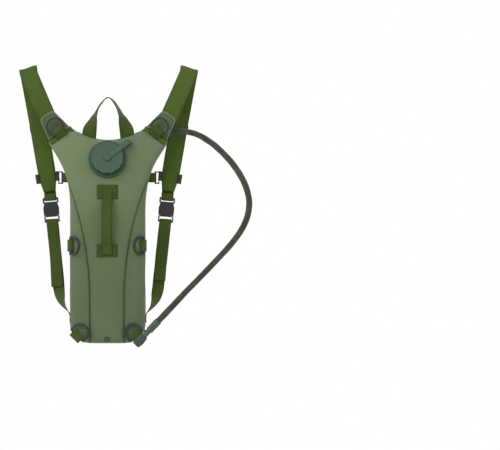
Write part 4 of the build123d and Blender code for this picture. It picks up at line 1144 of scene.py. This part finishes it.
anchor = {"front": -9.0, "thick": 8.0, "reach": 51.5, "round": 9.0}
for sideName, side in sides.items():
    rim = []
    far = anchor["reach"] - 0.5
    padCorners = [(1.5, 2.0), (10.0, far), (wing["run"] - 10, far), (wing["run"] - 0.5, 2.0)]
    for index, corner in enumerate(padCorners):
        before, after = padCorners[index - 1], padCorners[(index + 1) % 4]
        here = Vector(corner)
        toBefore, toAfter = (Vector(before) - here), (Vector(after) - here)
        reach = anchor["round"] if 0 < index < 3 else 1.0
        first, last = here + toBefore.normalized() * reach, here + toAfter.normalized() * reach
        for step in range(9):
            t = step / 8
            rim.append(first * (1 - t) ** 2 + here * (2 * t * (1 - t)) + last * t * t)
        nextReach = anchor["round"] if index < 2 else 1.0
        for t in (0.12, 0.25, 0.38, 0.5, 0.62, 0.75, 0.88):
            rim.append(last.lerp(Vector(after) - toAfter.normalized() * nextReach, t))
    centre = sum(rim, Vector((0, 0))) / len(rim)
    bands = [  # how far in from the rim, and the share of the thickness there
        (0.0, 0.0), (0.0, 0.45), (0.6, 0.8), (1.6, 0.98), (3.0, 1.02), (4.4, 0.9), (5.4, 0.74), (6.6, 0.82),
        (9, 0.94), (13, 1.0), (18, 1.02), (23, 1.03),
    ]
    vertices, faces, uvs, paintedShading = [], [], [], []
    for face in (1, -1):
        for inset, rise in bands:
            for spot in rim:
                toward = centre - spot
                moved = spot + toward * min(inset / 24, 0.96)
                soft = 0.25 * noise.noise(Vector((moved.x * 0.09, moved.y * 0.09, face + side)))
                y = anchor["front"] + anchor["thick"] / 2 - face * (anchor["thick"] / 2 * rise + soft * (inset > 3))
                vertices.append(wingSpot(side, moved.x, moved.y, y) * mm)
                uvs.append((moved.x * mm, moved.y * mm))
                # painted shade in the groove near the pad's rim and painted highlight on the rolled rim
                paintedShading.append((0.8 if 4.5 < inset < 6 else 0.0, 0.6 if inset < 4 else 0.1))
    count, layers = len(rim), len(bands)
    for face in range(2):
        faces += bandFaces(layers, count, face * layers * count)
        start = (face * layers + layers - 1) * count
        faces.append(tuple(start + index for index in range(count)))
    for index in range(count):  # the edge, where the two faces meet
        a, b = index, (index + 1) % count
        faces.append((a, b, b + layers * count, a + layers * count))
    pad = facingOut(finishMesh(f"anchorPad_{sideName}", vertices, faces, cloths["anchorFabric"], uvs, paintedShading))
    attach(pad, "carrier")
    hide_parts(f"anchor_pad_{sideName}")
print("wings")

# Tabs that hold the rings: webbing round each ring's bar, sewn down behind it

tab = {"gap": 4.36, "rise": 5.21, "tail": 16.0, "lean": 9.5, "cornerTurn": 45.0}
tabCloth = {"wing": (16, 1), "strap": (16, 1), "side": (0, 22), "base": (5, 3)}  # flat run and bend of the cloth below
slant = math.sqrt(0.5)


def ringPlanes(side):  # each ring's bar: its middle, the direction along it, the ring's reach, and out from the cloth
    wingBar = wingSpot(side, wing["run"] / 2 - 2, 9, -15.4 - tab["rise"])
    turn = math.radians(tab["cornerTurn"])
    out = Vector((side * math.sin(turn), -math.cos(turn), 0))
    sideBar = own(side * 56.5, -30, 204) + out * (tabCloth["side"][1] + tab["rise"])
    planes = {
        "wing": (wingBar, Vector((wing["along"][0], 0, side * wing["along"][1])), Vector((0, -1, 0))),
        "strap": (own(side * 148.6, 34.25 + tab["rise"], 457), leaning(side, tab["lean"]), Vector((0, 1, 0))),
        "side": (sideBar, Vector((0, 0, side)), out),
        "base": (own(side * 61.13, -52 - tab["rise"], 17.37), Vector((slant, 0, side * slant)), Vector((0, -1, 0))),
    }
    return {where: (bar, along, out.cross(along), out) for where, (bar, along, out) in planes.items()}


def tailPlace(run, lift, flat, bend):  # along the ring's reach and out from its bar
    turn = min(max(run - flat, 0) / bend, math.pi / 2)
    straight = max(run - flat - bend * math.pi / 2, 0)
    height = (bend + lift) * math.cos(turn) - bend - straight - tab["rise"]
    return -min(run, flat) - (bend + lift) * math.sin(turn), height


for where, (flat, bend) in tabCloth.items():
    pieces = []
    for side in sides.values():
        bar, along, reach, out = ringPlanes(side)[where]
        under = tab["rise"] - tab["gap"]
        runs = [tab["tail"] * share for share in (0.3, 0.45, 0.6, 0.8, 1)]
        turns = [tailPlace(run, under, flat, bend) for run in reversed(runs)]
        turns += [(tab["gap"] * math.sin(a), -tab["gap"] * math.cos(a)) for a in halfTurn]
        turns += [tailPlace(run, under + lift, flat, bend) for run, lift in zip(runs, (7.3, 3.65, 2.15, 1.65, 1.65))]
        points = [bar + reach * y + out * z for y, z in turns]
        frames = ribbonFrames(points, along, 1.0)
        pieces.append(ribbon("tab", frames, dict(webbingLook, wave=0.0), cloths["webbing"]))
        outer = -0.8 if (frames[-1]["out"]).dot(out) < 0 else 0.8
        for run in (frames[-1]["run"] - 1.6, frames[-1]["run"] - 4.4):
            stitchSets.append(rowAcross(frames, run, outer, 20, threadLook["step"]))
    tabs = joined(f"{where}RingTabs", pieces)
    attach(tabs, "carrier")
    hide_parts(f"{where}_ring_tabs")
print("tabs")

# Moulded back pad, with its channels pressed in

backPad = {
    "half": 77.5, "low": 1.0, "high": 322.0, "lowRound": 39.0, "highRound": 12.0, "thick": 9.0, "edge": 6.0,
    "groove": 3.0, "grooveHalf": 3.4, "crown": 0.9,
    "panel": (50.0, 289.0, 316.0),  # the sunken label place: half width, low and high
    "lines": [
        [(-50, 281), (0, 231), (50, 281)], [(-32, 285), (0, 251), (32, 285)],
        [(-78, 284), (-48, 218)], [(78, 284), (48, 218)],
        [(-78, 233), (-50, 214)], [(78, 233), (50, 214)], [(-45, 215), (-45, 51)], [(45, 215), (45, 51)],
        [(-39, 47), (-24, 6)], [(39, 47), (24, 6)],
    ],
    "hoops": (215.0, 135.0, 51.0),
    "hoopRise": 6.0,
    "columns": 110,
    "rows": 226,
}


def padEdge(x, height):  # how far a place is inside the pad's outline
    middle = (backPad["low"] + backPad["high"]) / 2
    corner = backPad["lowRound"] if height < middle else backPad["highRound"]
    a = abs(x) - backPad["half"] + corner
    b = abs(height - middle) - (backPad["high"] - backPad["low"]) / 2 + corner
    return corner - math.hypot(max(a, 0), max(b, 0)) - min(max(a, b), 0)


def nearLine(x, height, start, end):
    dx, dy = end[0] - start[0], end[1] - start[1]
    share = ((x - start[0]) * dx + (height - start[1]) * dy) / (dx * dx + dy * dy)
    share = min(max(share, 0), 1)
    return math.hypot(x - start[0] - share * dx, height - start[1] - share * dy)


padLines = [(a, b) for line in backPad["lines"] for a, b in zip(line, line[1:])]


def nearGroove(x, height):
    near = min(nearLine(x, height, a, b) for a, b in padLines)
    for hoop in backPad["hoops"]:
        near = min(near, abs(height - hoop - backPad["hoopRise"] * (1 - (x / 155) ** 2)))
    return near


vertices, faces, uvs, paintedShading = [], [], [], []
wide = backPad["columns"] + 1
for row in range(backPad["rows"] + 1):
    height = backPad["low"] + (backPad["high"] - backPad["low"]) * row / backPad["rows"]
    half = backPad["half"]
    for corner, past in (
        (backPad["lowRound"], backPad["low"] + backPad["lowRound"] - height),
        (backPad["highRound"], height - (backPad["high"] - backPad["highRound"])),
    ):
        if past > 0:  # the rounded corner draws the edge in
            half = backPad["half"] - corner + math.sqrt(max(0.0, corner**2 - past**2))
    for column in range(wide):
        x = half * math.sin(math.pi / 2 * (-1 + 2 * column / backPad["columns"]) * 0.5) / math.sin(math.pi / 4)
        edge = padEdge(x, height)
        near = nearGroove(x, height)
        panelHalf, panelLow, panelHigh = backPad["panel"]
        panel = min(panelHalf - abs(x), height - panelLow, panelHigh - height)
        rolled = max(0.0, 1 - max(edge, 0) / backPad["edge"])
        y = backPad["thick"] * math.sqrt(max(0.0, 1 - rolled**2.4))
        y += backPad["crown"] * (1 - math.exp(-min(near, max(edge, 0)) / 9.0))
        sunk = 0.5 + 0.5 * math.cos(math.pi * min(near / backPad["grooveHalf"], 1))
        sunk = max(sunk, 0.8 * min(max((panel + 1.5) / 3.0, 0), 1)) * min(1.0, max(edge, 0) / 3.0)
        y -= backPad["groove"] * sunk
        y += 0.25 * noise.noise(Vector((x * 0.06, height * 0.05, 3))) * min(1, max(edge, 0) / 8)
        vertices.append(own(x, backY + 0.1 + max(y, 0), height) * mm)
        uvs.append((x * mm, height * mm))
        # painted shade in the channels and the sunken label place, and painted highlight on the channels' shoulders
        paintedShading.append((min(1.0, 0.9 * sunk), 0.5 * max(0.0, 1 - near / 5.0) * (near > 3)))
for row in range(backPad["rows"]):
    for column in range(wide - 1):
        a = row * wide + column
        faces.append((a, a + wide, a + wide + 1, a + 1))
rim = list(range(wide)) + [row * wide + wide - 1 for row in range(1, backPad["rows"] + 1)]
rim += list(range(backPad["rows"] * wide + wide - 2, backPad["rows"] * wide - 1, -1))
rim += [row * wide for row in range(backPad["rows"] - 1, 0, -1)]
faces.append(tuple(rim))
padPiece = facingOut(finishMesh("backPad", vertices, faces, cloths["padFabric"], uvs, paintedShading))
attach(padPiece, "carrier")
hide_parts("back_pad")
print("back pad")

# Cap leash: a rubber strip from the button down to the collar

leash = {
    "tilt": math.atan2(7, 34), "turn": 38.0, "thick": 2.3,
    "path": [
        (-7.9, 19.9), (-6, 19.9), (0, 19.9), (6, 19.9), (10, 19.9), (30, 19.9), (48, 19.9), (54.5, 19.2),
        (58.4, 16), (59.6, 11), (59.8, 5.4),
    ],
    "widths": [3, 11, 15.5, 12, 10.3, 10, 10.3, 11.5, 11.5, 11.5, 11.5],
}
portOut = Vector((0, -math.cos(leash["tilt"]), math.sin(leash["tilt"])))
portUp = Vector((0, math.sin(leash["tilt"]), math.cos(leash["tilt"])))
portAt = own(0, -21, 384)


def portSpot(reach, aside, rise):  # a place over the port: out along the leash, beside it, and above the fabric
    turn = math.radians(leash["turn"])
    x = reach * math.cos(turn) - aside * math.sin(turn)
    up = reach * math.sin(turn) + aside * math.cos(turn)
    return portAt + Vector((x, 0, 0)) + portUp * up + portOut * rise


points = [portSpot(reach, 0, rise) for reach, rise in leash["path"]]
acrossLeash = portSpot(0, 1, 0) - portAt
frames = ribbonFrames(points, acrossLeash, 0.9)
turns, runs = smoothRun(points, 0.9)[1:]
even = np.linspace(0, runs[-1], 40)
steps = range(len(leash["widths"]))
widths = [float(np.interp(np.interp(run, runs, turns), steps, leash["widths"])) for run in even]
look = {
    "width": 10, "widths": widths, "thickness": leash["thick"], "edge": 0.3, "wave": 0.0, "waveScale": 0.1,
    "rimShade": 0,
}
leashPiece = ribbon("capLeash", frames, look, moulded["leashRubber"])
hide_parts("cap_leash")
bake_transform(leashPiece)

# Bladder: a welded film bag, slack where it is not pushed out

bladder = {"half": 65.0, "low": 7.0, "high": 416.0, "back": -1.2, "front": 6.2, "rim": 56, "rows": 90}
vertices, uvs = [], []
for row in range(bladder["rows"] + 1):
    height = bladder["low"] + (bladder["high"] - bladder["low"]) * row / bladder["rows"]
    end = min(height - bladder["low"], bladder["high"] - height)
    swell = math.sqrt(1 - (1 - min(end / 30.0, 1)) ** 2)
    half = bladder["half"] - 26 * (1 - min(end / 34.0, 1)) ** 2
    depthAt = float(np.interp(height, stationHeights, stationDepths)) - (20 - height if height < 20 else 0)
    front = backY - depthAt + bladder["front"]
    for turn in range(bladder["rim"]):
        angle = 2 * math.pi * turn / bladder["rim"]
        c, s = math.cos(angle), math.sin(angle)
        x = half * math.copysign(abs(c) ** 0.45, c)
        y = math.copysign(abs(s) ** 0.6, s)
        fold = 1.2 * noise.noise(Vector((x * 0.03, y, height * 0.025)))
        middle, deep = (front + bladder["back"]) / 2, (bladder["back"] - front) / 2
        y = middle + y * max(deep * swell - abs(fold), 0.6)
        vertices.append(own(x, y, height) * mm)
        uvs.append((turn * 0.006, height * mm))
faces = tubeFaces(bladder["rows"] + 1, bladder["rim"])
bag = facingOut(finishMesh("bladderFilm", vertices, faces, moulded["film"], uvs))
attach(bag, "carrier")
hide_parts("bladder")

# Thread

thread = stitches("sewingThread", stitchSets, threadLook)
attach(thread, "carrier")
print("bladder and thread", sum(len(row) for row in stitchSets))
